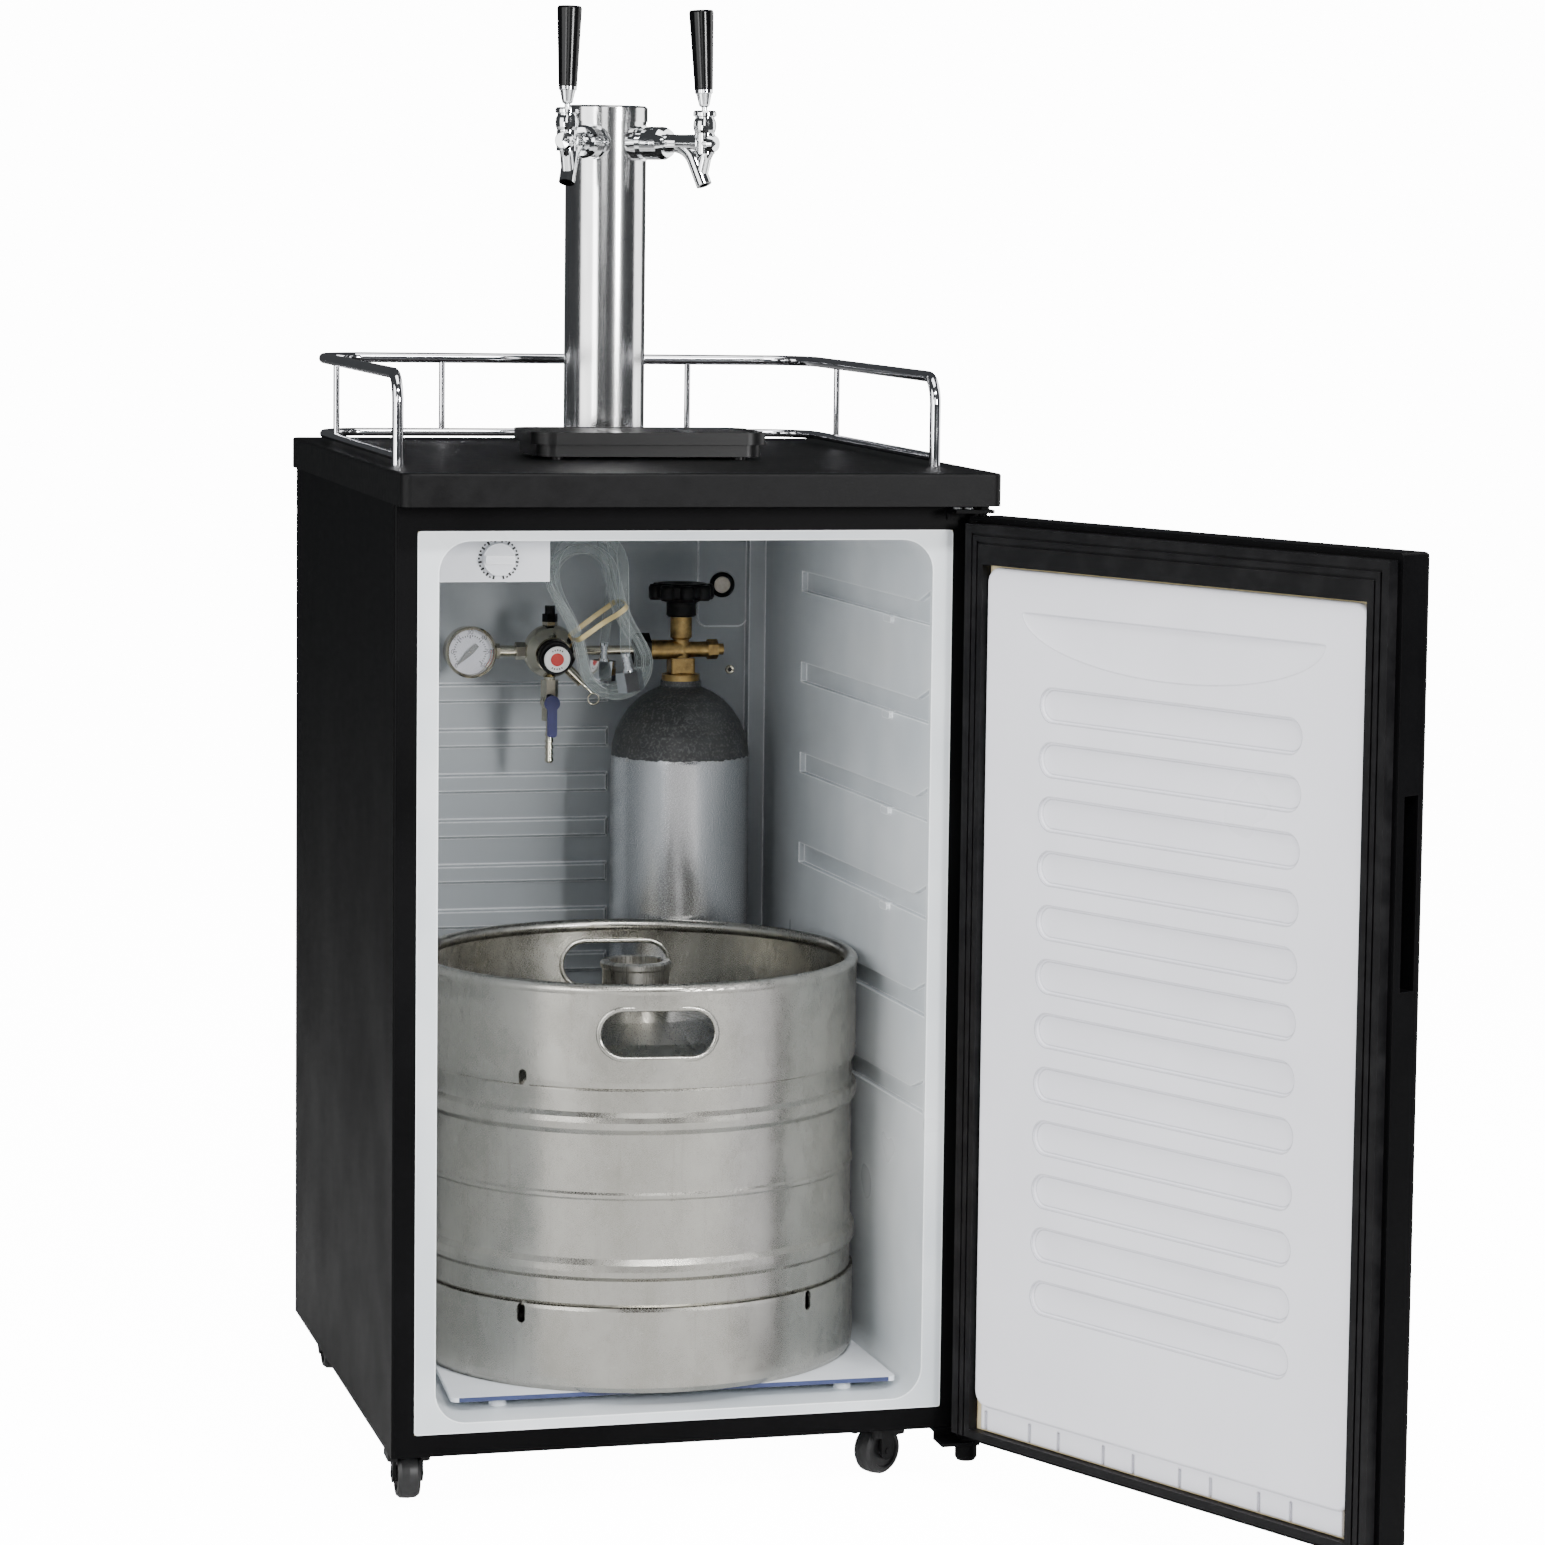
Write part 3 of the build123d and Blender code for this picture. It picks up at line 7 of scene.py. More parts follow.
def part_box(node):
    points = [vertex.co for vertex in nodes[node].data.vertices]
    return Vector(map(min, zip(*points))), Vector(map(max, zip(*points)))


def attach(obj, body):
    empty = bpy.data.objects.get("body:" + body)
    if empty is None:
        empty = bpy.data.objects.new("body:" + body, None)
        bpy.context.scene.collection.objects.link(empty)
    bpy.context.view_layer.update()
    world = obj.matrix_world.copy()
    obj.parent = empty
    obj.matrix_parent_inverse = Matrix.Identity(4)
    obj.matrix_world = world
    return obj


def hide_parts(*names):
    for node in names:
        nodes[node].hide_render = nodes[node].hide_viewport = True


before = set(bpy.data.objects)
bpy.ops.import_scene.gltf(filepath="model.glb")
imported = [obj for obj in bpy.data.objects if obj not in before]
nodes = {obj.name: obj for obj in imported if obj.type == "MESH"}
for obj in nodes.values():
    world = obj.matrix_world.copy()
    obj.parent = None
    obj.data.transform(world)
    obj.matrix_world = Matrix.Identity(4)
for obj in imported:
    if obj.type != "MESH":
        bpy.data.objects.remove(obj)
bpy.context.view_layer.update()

# ---------------------------------------------------------------- camera

CAMERA_PLACE = (-0.9312, -4.3390, 1.1346)
CAMERA_YAW = 0.285
CAMERA_PITCH = -0.101
CAMERA_ROLL = -0.016
CAMERA_LENS = 110.85
CAMERA_SHIFT = (-0.1294, -0.0437)


def make_camera():
    """Camera at the fitted viewing point, with its horizon rolled very slightly."""
    forward = Vector((
        math.sin(CAMERA_YAW) * math.cos(CAMERA_PITCH),
        math.cos(CAMERA_YAW) * math.cos(CAMERA_PITCH),
        math.sin(CAMERA_PITCH),
    ))
    level = forward.cross(Vector((0, 0, 1))).normalized()
    down = forward.cross(level)
    right = level * math.cos(CAMERA_ROLL) + down * math.sin(CAMERA_ROLL)
    lower = down * math.cos(CAMERA_ROLL) - level * math.sin(CAMERA_ROLL)
    camera = bpy.data.objects.new("camera", bpy.data.cameras.new("camera"))
    bpy.context.scene.collection.objects.link(camera)
    turn = Matrix((right, -lower, -forward)).transposed().to_4x4()
    camera.matrix_world = Matrix.Translation(CAMERA_PLACE) @ turn
    camera.data.sensor_width = 36
    camera.data.lens = CAMERA_LENS
    camera.data.shift_x = CAMERA_SHIFT[0]
    camera.data.shift_y = CAMERA_SHIFT[1]
    camera.data.clip_end = 60
    bpy.context.scene.camera = camera


make_camera()

# ---------------------------------------------------------------- node graph helper


class Graph:
    """One node material, built from short calls."""

    def __init__(self, name):
        self.material = bpy.data.materials.new(name)
        self.material.use_nodes = True
        self.tree = self.material.node_tree
        self.tree.nodes.clear()
        self.output = self.tree.nodes.new("ShaderNodeOutputMaterial")
        self.place = self.tree.nodes.new("ShaderNodeTexCoord").outputs["Object"]

    def give(self, socket, value):
        """Link a socket, or set a plain value on it."""
        if isinstance(value, bpy.types.NodeSocket):
            self.tree.links.new(value, socket)
        elif isinstance(value, (tuple, list)) and len(value) == 3 and socket.type == "RGBA":
            socket.default_value = (*value, 1)
        else:
            socket.default_value = value

    def mapped(self, scale, shift=(0, 0, 0), vector=None):
        mapping = self.tree.nodes.new("ShaderNodeMapping")
        self.give(mapping.inputs["Vector"], vector or self.place)
        mapping.inputs["Scale"].default_value = scale
        mapping.inputs["Location"].default_value = shift
        return mapping.outputs["Vector"]

    def noise(self, scale, detail=4.0, roughness=0.55, vector=None, distortion=0.0):
        noise = self.tree.nodes.new("ShaderNodeTexNoise")
        self.give(noise.inputs["Vector"], vector or self.place)
        noise.inputs["Scale"].default_value = scale
        noise.inputs["Detail"].default_value = detail
        noise.inputs["Roughness"].default_value = roughness
        noise.inputs["Distortion"].default_value = distortion
        return noise.outputs["Fac"]

    def spread(self, value, low, high, to_low=0.0, to_high=1.0):
        """Map a range of one value onto another range, held at both ends."""
        ranged = self.tree.nodes.new("ShaderNodeMapRange")
        self.give(ranged.inputs["Value"], value)
        ranged.inputs["From Min"].default_value = low
        ranged.inputs["From Max"].default_value = high
        ranged.inputs["To Min"].default_value = to_low
        ranged.inputs["To Max"].default_value = to_high
        return ranged.outputs["Result"]

    def math(self, operation, first, second=0.0):
        step = self.tree.nodes.new("ShaderNodeMath")
        step.operation = operation
        self.give(step.inputs[0], first)
        self.give(step.inputs[1], second)
        return step.outputs["Value"]

    def mix(self, factor, first, second):
        mixer = self.tree.nodes.new("ShaderNodeMix")
        mixer.data_type = "RGBA"
        self.give(mixer.inputs["Factor"], factor)
        self.give(mixer.inputs["A"], first)
        self.give(mixer.inputs["B"], second)
        return next(out for out in mixer.outputs if out.type == "RGBA")

    def axis(self, letter, vector=None):
        parts = self.tree.nodes.new("ShaderNodeSeparateXYZ")
        self.give(parts.inputs["Vector"], vector or self.place)
        return parts.outputs[letter]

    def around(self, centre, scale):
        """Coordinates that wrap a vertical cylinder: angle, radius and height, each scaled."""
        across = self.math("SUBTRACT", self.axis("X"), centre[0])
        back = self.math("SUBTRACT", self.axis("Y"), centre[1])
        angle = self.math("ARCTAN2", back, across)
        squares = self.math("ADD", self.math("POWER", across, 2), self.math("POWER", back, 2))
        radius = self.math("SQRT", squares)
        joined = self.tree.nodes.new("ShaderNodeCombineXYZ")
        self.give(joined.inputs["X"], angle)
        self.give(joined.inputs["Y"], radius)
        self.give(joined.inputs["Z"], self.axis("Z"))
        return self.mapped(scale, vector=joined.outputs["Vector"])

    def bump(self, height, strength, distance=0.001, normal=None):
        bump = self.tree.nodes.new("ShaderNodeBump")
        self.give(bump.inputs["Height"], height)
        bump.inputs["Strength"].default_value = strength
        bump.inputs["Distance"].default_value = distance
        if normal is not None:
            self.give(bump.inputs["Normal"], normal)
        return bump.outputs["Normal"]

    def edge(self, width, soft=0.98, hard=0.8):
        """1 along edges and 0 on flats, from a bevelled normal; the mask for painted edge highlights and
        painted edge shade.
        """
        bevel = self.tree.nodes.new("ShaderNodeBevel")
        bevel.inputs["Radius"].default_value = width
        geometry = self.tree.nodes.new("ShaderNodeNewGeometry")
        dot = self.tree.nodes.new("ShaderNodeVectorMath")
        dot.operation = "DOT_PRODUCT"
        self.give(dot.inputs[0], bevel.outputs["Normal"])
        self.give(dot.inputs[1], geometry.outputs["Normal"])
        return self.spread(dot.outputs["Value"], soft, hard)

    def finish(self, **values):
        """Principled shader with the given sockets."""
        shader = self.tree.nodes.new("ShaderNodeBsdfPrincipled")
        for name, value in values.items():
            self.give(shader.inputs[name.replace("_", " ")], value)
        self.tree.links.new(shader.outputs["BSDF"], self.output.inputs["Surface"])
        return self.material


def dress(material, *names):
    """Put one material on CAD nodes."""
    for name in names:
        mesh = nodes[name].data
        mesh.materials.clear()
        mesh.materials.append(material)


# ---------------------------------------------------------------- materials


def powder_black():
    g = Graph("powder_black")
    grain = g.noise(1400, 2)
    tone = g.noise(7, 3)
    base = g.mix(g.spread(tone, 0.35, 0.65), (0.0010, 0.0010, 0.0012), (0.0020, 0.0020, 0.0023))
    # Painted highlight: edges are lightened towards a brighter black.
    base = g.mix(g.math("MULTIPLY", g.edge(0.0008), 0.35), base, (0.012, 0.012, 0.013))
    return g.finish(Base_Color=base, Roughness=g.spread(tone, 0.3, 0.7, 0.40, 0.50), Specular_IOR_Level=0.05,
                    Normal=g.bump(grain, 0.12, 0.0002))


def black_laminate():
    g = Graph("black_laminate")
    grain = g.noise(700, 3)
    streak = g.noise(60, 4, vector=g.mapped((1, 14, 1)))
    base = g.mix(g.spread(streak, 0.35, 0.7), (0.0016, 0.0016, 0.0018), (0.004, 0.004, 0.0043))
    rough = g.spread(streak, 0.3, 0.7, 0.40, 0.55)
    normal = g.bump(grain, 0.25, 0.0004)
    return g.finish(Base_Color=base, Roughness=rough, Specular_IOR_Level=0.10, Normal=normal)


def white_plastic(name, light, shade, painted_edge_tone, painted_shade_factor=1.0):
    """Vacuum-formed plastic with its edges painted in the edge tone (a painted highlight when lighter,
    painted shade when darker), and with painted shade deeper inside the cabinet.
    """
    g = Graph(name)
    cloud = g.noise(5, 3)
    ripple = g.noise(14, 2)
    base = g.mix(g.spread(cloud, 0.35, 0.65), light, shade)
    # Painted shade: the colour darkens towards the back of the cabinet, along Y.
    painted_shade_depth = g.spread(g.axis("Y"), -0.05, 0.24)
    base = g.mix(painted_shade_depth, base, tuple(channel * painted_shade_factor for channel in shade))
    # Painted edge lines: a lighter edge tone is a painted highlight, a darker one is painted shade.
    base = g.mix(g.edge(0.0022, 0.995, 0.93), base, painted_edge_tone)
    normal = g.bump(ripple, 0.25, 0.002)
    normal = g.bump(g.noise(900, 2), 0.05, 0.0002, normal)
    return g.finish(Base_Color=base, Roughness=g.spread(cloud, 0.3, 0.7, 0.26, 0.36), Normal=normal)


def black_rubber():
    g = Graph("black_rubber")
    dust = g.noise(40, 4)
    base = g.mix(g.spread(dust, 0.45, 0.75), (0.003, 0.003, 0.0034), (0.008, 0.008, 0.0085))
    return g.finish(Base_Color=base, Roughness=g.spread(dust, 0.3, 0.7, 0.38, 0.52), Specular_IOR_Level=0.12,
                    Normal=g.bump(dust, 0.1, 0.0004))


def moulded_black(name, roughness, grain_size=900):
    g = Graph(name)
    grain = g.noise(grain_size, 2)
    tone = g.noise(12, 3)
    base = g.mix(tone, (0.0015, 0.0015, 0.0017), (0.003, 0.003, 0.0033))
    rough = g.spread(tone, 0.3, 0.7, roughness - 0.04, roughness + 0.05)
    normal = g.bump(grain, 0.04, 0.0001)
    return g.finish(Base_Color=base, Roughness=rough, Specular_IOR_Level=0.22, Normal=normal)


KEG_AXIS = [(low + high) / 2 for low, high in zip(*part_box("keg_shell"))]
TANK_AXIS = [(low + high) / 2 for low, high in zip(*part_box("co2_cylinder"))]
TOWER_AXIS = [(low + high) / 2 for low, high in zip(*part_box("tower_cap"))]


def keg_steel():
    g = Graph("keg_steel")
    wrap = g.around(KEG_AXIS, (1, 1, 1))
    brush = g.noise(55, 5, 0.65, g.mapped((2.2, 0, 34), vector=wrap))
    cloud = g.noise(3.2, 5, 0.6, g.mapped((1.4, 0, 5), vector=wrap))
    streak = g.noise(9, 4, 0.6, g.mapped((2.6, 0, 0.9), vector=wrap))
    scuff = g.noise(26, 6, 0.7, g.mapped((1.0, 0, 9), vector=wrap))
    base = g.mix(g.spread(cloud, 0.3, 0.7), (0.31, 0.302, 0.272), (0.39, 0.38, 0.35))
    base = g.mix(g.spread(streak, 0.58, 0.78, 0, 0.3), base, (0.20, 0.19, 0.165))
    base = g.mix(g.spread(scuff, 0.62, 0.72, 0, 0.3), base, (0.60, 0.60, 0.58))
    rough = g.math("ADD", g.spread(cloud, 0.3, 0.7, 0.22, 0.32), g.spread(brush, 0.3, 0.7, -0.05, 0.07))
    normal = g.bump(brush, 0.10, 0.0004)
    normal = g.bump(cloud, 0.18, 0.002, normal)
    return g.finish(Base_Color=base, Metallic=1.0, Roughness=rough, Anisotropic=0.35, Normal=normal)


def tower_steel():
    g = Graph("tower_steel")
    wrap = g.around(TOWER_AXIS, (1, 1, 1))
    brush = g.noise(70, 4, 0.6, g.mapped((26, 0, 1.1), vector=wrap))
    haze = g.noise(5, 3, 0.5, g.mapped((1, 0, 4), vector=wrap))
    base = g.mix(g.spread(haze, 0.3, 0.7), (0.60, 0.60, 0.60), (0.74, 0.74, 0.74))
    rough = g.spread(brush, 0.3, 0.7, 0.10, 0.19)
    return g.finish(Base_Color=base, Metallic=1.0, Roughness=rough, Normal=g.bump(brush, 0.03, 0.0003))


def plated(name, colour, low, high, stain=(0.2, 0.2, 0.2), stained=0.2, dark_above=None):
    """Plated or bare metal with faint handling marks, blackened above a height where one is given."""
    g = Graph(name)
    marks = g.noise(60, 5, 0.6)
    patches = g.noise(22, 4)
    base = g.mix(g.spread(patches, 0.5, 0.8, 0, stained), colour, stain)
    if dark_above is not None:
        base = g.mix(g.spread(g.axis("Z"), dark_above, dark_above + 0.0005), base, (0.02, 0.02, 0.02))
    rough = g.spread(marks, 0.3, 0.7, low, high)
    return g.finish(Base_Color=base, Metallic=1.0, Roughness=rough, Normal=g.bump(marks, 0.02, 0.0003))


PAINT_LINE = 0.613


def tank_metal():
    """Brushed aluminium below and speckled grey shoulder paint above."""
    g = Graph("tank_metal")
    wrap = g.around(TANK_AXIS, (1, 1, 1))
    brush = g.noise(60, 4, 0.6, g.mapped((0.8, 0, 30), vector=wrap))
    drip = g.noise(14, 3, 0.5, g.mapped((1, 0, 0.2), vector=wrap))
    speck = g.noise(420, 3)
    cloud = g.noise(16, 4)
    line = g.math("ADD", g.axis("Z"), g.spread(drip, 0.3, 0.7, -0.0012, 0.0012))
    painted = g.spread(line, PAINT_LINE - 0.0004, PAINT_LINE + 0.0004)
    bare = g.mix(g.spread(brush, 0.35, 0.65), (0.62, 0.62, 0.63), (0.74, 0.74, 0.75))
    paint = g.mix(g.spread(cloud, 0.3, 0.7), (0.05, 0.05, 0.051), (0.10, 0.10, 0.10))
    paint = g.mix(g.spread(speck, 0.5, 0.65, 0, 0.6), paint, (0.19, 0.19, 0.185))
    rough = g.math("ADD", g.math("MULTIPLY", painted, 0.24), g.spread(brush, 0.3, 0.7, 0.20, 0.32))
    metal = g.spread(painted, 0, 1, 1.0, 0.35)
    return g.finish(
        Base_Color=g.mix(painted, bare, paint), Metallic=metal, Roughness=rough,
        Normal=g.bump(g.math("ADD", brush, g.math("MULTIPLY", speck, painted)), 0.08, 0.0004),
    )


def tarnished_brass():
    g = Graph("tarnished_brass")
    tarnish = g.noise(70, 5, 0.6)
    spots = g.noise(240, 3)
    base = g.mix(g.spread(tarnish, 0.35, 0.7), (0.50, 0.34, 0.13), (0.22, 0.14, 0.06))
    base = g.mix(g.spread(spots, 0.6, 0.75, 0, 0.5), base, (0.62, 0.48, 0.24))
    return g.finish(Base_Color=base, Metallic=1.0, Roughness=g.spread(tarnish, 0.3, 0.7, 0.26, 0.46),
                    Normal=g.bump(spots, 0.06, 0.0003))


def clear_vinyl():
    """Clear hose: nearly see-through face on and more opaque at its rims, where a painted highlight lightens
    the colour.
    """
    g = Graph("clear_vinyl")
    weight = g.tree.nodes.new("ShaderNodeLayerWeight")
    weight.inputs["Blend"].default_value = 0.45
    facing = weight.outputs["Facing"]
    haze = g.noise(90, 3)
    # Painted highlight: the colour is lighter where the hose turns away from view.
    base = g.mix(g.spread(facing, 0.3, 0.9), (0.30, 0.34, 0.33), (0.80, 0.84, 0.83))
    alpha = g.math("ADD", g.spread(facing, 0.35, 0.88, 0.10, 0.92), g.spread(haze, 0.4, 0.7, 0.0, 0.05))
    return g.finish(Base_Color=base, Roughness=0.10, IOR=1.5, Alpha=alpha, Normal=g.bump(haze, 0.05, 0.0004))


def clear_lens():
    g = Graph("clear_lens")
    smear = g.noise(120, 3)
    return g.finish(Base_Color=(0.9, 0.92, 0.92), Roughness=g.spread(smear, 0.3, 0.7, 0.02, 0.08), Alpha=0.10)


def galvanised():
    g = Graph("galvanised")
    spangle = g.tree.nodes.new("ShaderNodeTexVoronoi")
    g.give(spangle.inputs["Vector"], g.place)
    spangle.inputs["Scale"].default_value = 90
    tone = g.spread(g.axis("X", spangle.outputs["Color"]), 0, 1)
    base = g.mix(tone, (0.36, 0.37, 0.38), (0.50, 0.51, 0.52))
    return g.finish(Base_Color=base, Metallic=1.0, Roughness=g.spread(tone, 0, 1, 0.34, 0.5),
                    Normal=g.bump(g.noise(300, 3), 0.05, 0.0003))


def plain_tint(name, low, high, roughness, scale=40.0, metallic=0.0):
    """Moulded or painted surface that drifts between two close colours."""
    g = Graph(name)
    drift = g.noise(scale, 4)
    base = g.mix(g.spread(drift, 0.3, 0.7), low, high)
    rough = g.spread(drift, 0.3, 0.7, roughness - 0.05, roughness + 0.05)
    normal = g.bump(g.noise(700, 2), 0.06, 0.0003)
    return g.finish(Base_Color=base, Metallic=metallic, Roughness=rough, Normal=normal)


POWDER = powder_black()
LAMINATE = black_laminate()
# Last colour of each is the painted edge tone: a painted highlight on the liner and the box, painted shade on
# the door's ribs. The liner's painted shade at the back is 0.62 of its darker tone.
LINER_WHITE = white_plastic("liner_white", (0.68, 0.71, 0.73), (0.52, 0.56, 0.59), (0.94, 0.96, 0.97), 0.62)
DOOR_WHITE = white_plastic("door_white", (0.80, 0.80, 0.85), (0.75, 0.75, 0.80), (0.36, 0.36, 0.40))
BOX_WHITE = white_plastic("box_white", (0.66, 0.67, 0.70), (0.60, 0.61, 0.64), (0.80, 0.80, 0.82))
RUBBER = black_rubber()
SATIN_BLACK = moulded_black("satin_black", 0.36)
GLOSS_BLACK = moulded_black("gloss_black", 0.16, 300)
MATT_BLACK = moulded_black("matt_black", 0.5)
KEG = keg_steel()
TOWER = tower_steel()
CHROME = plated("chrome", (0.78, 0.79, 0.80), 0.04, 0.09)
RAIL = plated("rail_chrome", (0.72, 0.72, 0.75), 0.05, 0.12)
NICKEL = plated("nickel", (0.62, 0.58, 0.47), 0.08, 0.18, (0.25, 0.20, 0.12), 0.6, 0.744)
BRASS = tarnished_brass()
TANK = tank_metal()
ZINC = galvanised()
VINYL = clear_vinyl()
FOAM = plain_tint("foam", (0.62, 0.52, 0.30), (0.72, 0.62, 0.38), 0.8)
ALUMINIUM = plated("aluminium", (0.62, 0.63, 0.64), 0.3, 0.42)
BLUE_VINYL = plain_tint("blue_vinyl", (0.003, 0.004, 0.06), (0.006, 0.009, 0.10), 0.3)
RED_PAINT = plain_tint("red_paint", (0.45, 0.015, 0.012), (0.55, 0.03, 0.02), 0.35)
GAUGE_PAPER = plain_tint("gauge_paper", (0.46, 0.46, 0.52), (0.52, 0.52, 0.58), 0.5)
DIAL_WHITE = plain_tint("dial_white", (0.72, 0.72, 0.70), (0.78, 0.78, 0.76), 0.45)
DIAL_BLACK = plain_tint("dial_black", (0.01, 0.01, 0.01), (0.02, 0.02, 0.02), 0.5)
BOARD_WHITE = plain_tint("board_white", (0.70, 0.73, 0.78), (0.76, 0.79, 0.83), 0.22, 9.0)
BOARD_BLUE = plain_tint("board_blue", (0.02, 0.03, 0.09), (0.03, 0.045, 0.13), 0.4)
BAND_RUBBER = plain_tint("band_rubber", (0.42, 0.33, 0.14), (0.52, 0.42, 0.20), 0.55, 120.0)
PLUG_TAN = plain_tint("plug_tan", (0.55, 0.50, 0.42), (0.68, 0.64, 0.56), 0.4, 300.0)
LENS = clear_lens()
TYRE = plain_tint("tyre", (0.003, 0.003, 0.0033), (0.008, 0.008, 0.0085), 0.4, 60.0)


def dress_cad_nodes():
    dress(POWDER, "cabinet_shell", "door_skin", "door_hinges")
    dress(ZINC, "cabinet_back_panel", "base_tray")
    dress(LINER_WHITE, "cabinet_liner")
    dress(DOOR_WHITE, "door_liner")
    dress(FOAM, "cabinet_foam", "door_foam")
    dress(LAMINATE, "worktop")
    dress(SATIN_BLACK, "compressor", "condenser_coil", "drip_tray", "drip_grille")
    dress(ALUMINIUM, "evaporator_plate")
    dress(BOX_WHITE, "thermostat_housing", "thermostat_knob")
    dress(RUBBER, "line_grommet", "door_gasket")
    dress(BOARD_WHITE, "floor_plate")
    dress(MATT_BLACK, "front_left_caster_fork", "front_right_caster_fork", "rear_caster_forks")
    dress(MATT_BLACK, "co2_handwheel", "regulator_inlet_nut", "regulator_knob")
    dress(TYRE, "front_left_wheel", "front_right_wheel", "rear_left_wheel", "rear_right_wheel")
    dress(RAIL, "guard_rail_tube", "guard_rail_lower_rod", "guard_rail_posts")
    dress(TOWER, "tower_column", "tower_cap")
    dress(CHROME, "faucet_shanks", "faucet_collars", "faucet_bodies", "faucet_bonnets", "beer_line_nuts")
    dress(CHROME, "left_faucet_lever", "right_faucet_lever", "left_faucet_plunger", "right_faucet_plunger")
    dress(GLOSS_BLACK, "left_tap_handle", "right_tap_handle")
    dress(KEG, "keg_shell", "keg_chimes", "keg_valve")
    dress(TANK, "co2_cylinder")
    dress(BRASS, "co2_valve")
    dress(NICKEL, "regulator_body", "shutoff_valve", "gauge_case", "relief_ring")
    dress(DIAL_BLACK, "gauge_needle")
    dress(BLUE_VINYL, "shutoff_lever")
    dress(VINYL, "tower_beer_lines", "beer_line_runs", "beer_line_hank")


dress_cad_nodes()

# ---------------------------------------------------------------- light and floor

BACKDROP_GLOW = 14.0
ROOM_GLOW = 0.07
ROOM_COLOUR = (0.90, 0.94, 1.0, 1)
FLOOR_REACH = 9.0


def soft_light(name, place, aim, size, watts, colour=(1, 1, 1)):
    light = bpy.data.lights.new(name, "AREA")
    light.shape = "RECTANGLE"
    light.size, light.size_y = size
    light.energy = watts
    light.color = colour
    holder = bpy.data.objects.new(name, light)
    bpy.context.scene.collection.objects.link(holder)
    holder.location = place
    holder.rotation_euler = (Vector(aim) - Vector(place)).to_track_quat("-Z", "Y").to_euler()


def make_world():
    """White to the camera, and a dim, slightly blue room to everything else."""
    world = bpy.data.worlds.new("world")
    bpy.context.scene.world = world
    world.use_nodes = True
    tree = world.node_tree
    tree.nodes.clear()
    output = tree.nodes.new("ShaderNodeOutputWorld")
    path = tree.nodes.new("ShaderNodeLightPath")
    mixer = tree.nodes.new("ShaderNodeMixShader")
    room = tree.nodes.new("ShaderNodeBackground")
    room.inputs["Color"].default_value = ROOM_COLOUR
    room.inputs["Strength"].default_value = ROOM_GLOW
    white = tree.nodes.new("ShaderNodeBackground")
    white.inputs["Color"].default_value = (1, 1, 1, 1)
    white.inputs["Strength"].default_value = BACKDROP_GLOW
    tree.links.new(path.outputs["Is Camera Ray"], mixer.inputs["Fac"])
    tree.links.new(room.outputs["Background"], mixer.inputs[1])
    tree.links.new(white.outputs["Background"], mixer.inputs[2])
    tree.links.new(mixer.outputs["Shader"], output.inputs["Surface"])


def make_floor():
    """Plain floor that glows as white as the backdrop to the camera, and is pale grey to everything else."""
    mesh = bpy.data.meshes.new("floor")
    size = FLOOR_REACH
    corners = [(-size, -size, 0), (size, -size, 0), (size, size, 0), (-size, size, 0)]
    mesh.from_pydata(corners, [], [(0, 1, 2, 3)])
    floor = bpy.data.objects.new("floor", mesh)
    bpy.context.scene.collection.objects.link(floor)
    g = Graph("floor_white")
    seen = g.tree.nodes.new("ShaderNodeLightPath").outputs["Is Camera Ray"]
    glow = g.math("MULTIPLY", seen, BACKDROP_GLOW)
    mesh.materials.append(g.finish(Base_Color=(0.8, 0.8, 0.8), Roughness=0.9, Specular_IOR_Level=0.1,
                                   Emission_Color=(1, 1, 1), Emission_Strength=glow))


soft_light("key_box", (1.75, -3.7, 1.45), (0, 0, 0.6), (0.6, 0.8), 150)
soft_light("side_fill", (-2.1, -2.4, 1.0), (0.2, 0, 0.6), (0.7, 1.2), 34)
soft_light("left_box", (-2.0, -0.85, 1.25), (0, 0.1, 0.95), (1.5, 2.2), 42)
soft_light("right_box", (2.2, 0.45, 1.35), (0, 0.1, 0.95), (1.5, 2.2), 36)
soft_light("front_fill", (-1.2, -4.3, 1.9), (0, 0, 0.6), (1.2, 1.2), 24)
soft_light("top_box", (0.1, -0.5, 3.0), (0, 0, 0.6), (1.4, 1.4), 26)
soft_light("high_front", (0.2, -2.6, 2.9), (0, -0.1, 0.5), (1.6, 0.3), 110)
make_world()
make_floor()

# ---------------------------------------------------------------- pieces


def add_piece(name, mesh, material, body):
    """Link a mesh as a piece that rides on a body."""
    piece = bpy.data.objects.new(name, mesh)
    bpy.context.scene.collection.objects.link(piece)
    mesh.materials.append(material)
    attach(piece, body)
    return piece


def hose_curve(name, points, radius):
    """One smooth open spline with round section through given points."""
    curve = bpy.data.curves.new(name, "CURVE")
    curve.dimensions = "3D"
    curve.bevel_depth = radius
    curve.bevel_resolution = 6
    curve.resolution_u = 10
    curve.use_fill_caps = True
    spline = curve.splines.new("NURBS")
    spline.points.add(len(points) - 1)
    for target, point in zip(spline.points, points):
        target.co = (*point, 1)
    spline.order_u = 3
    spline.use_endpoint_u = True
    piece = bpy.data.objects.new(name, curve)
    bpy.context.scene.collection.objects.link(piece)
    return piece


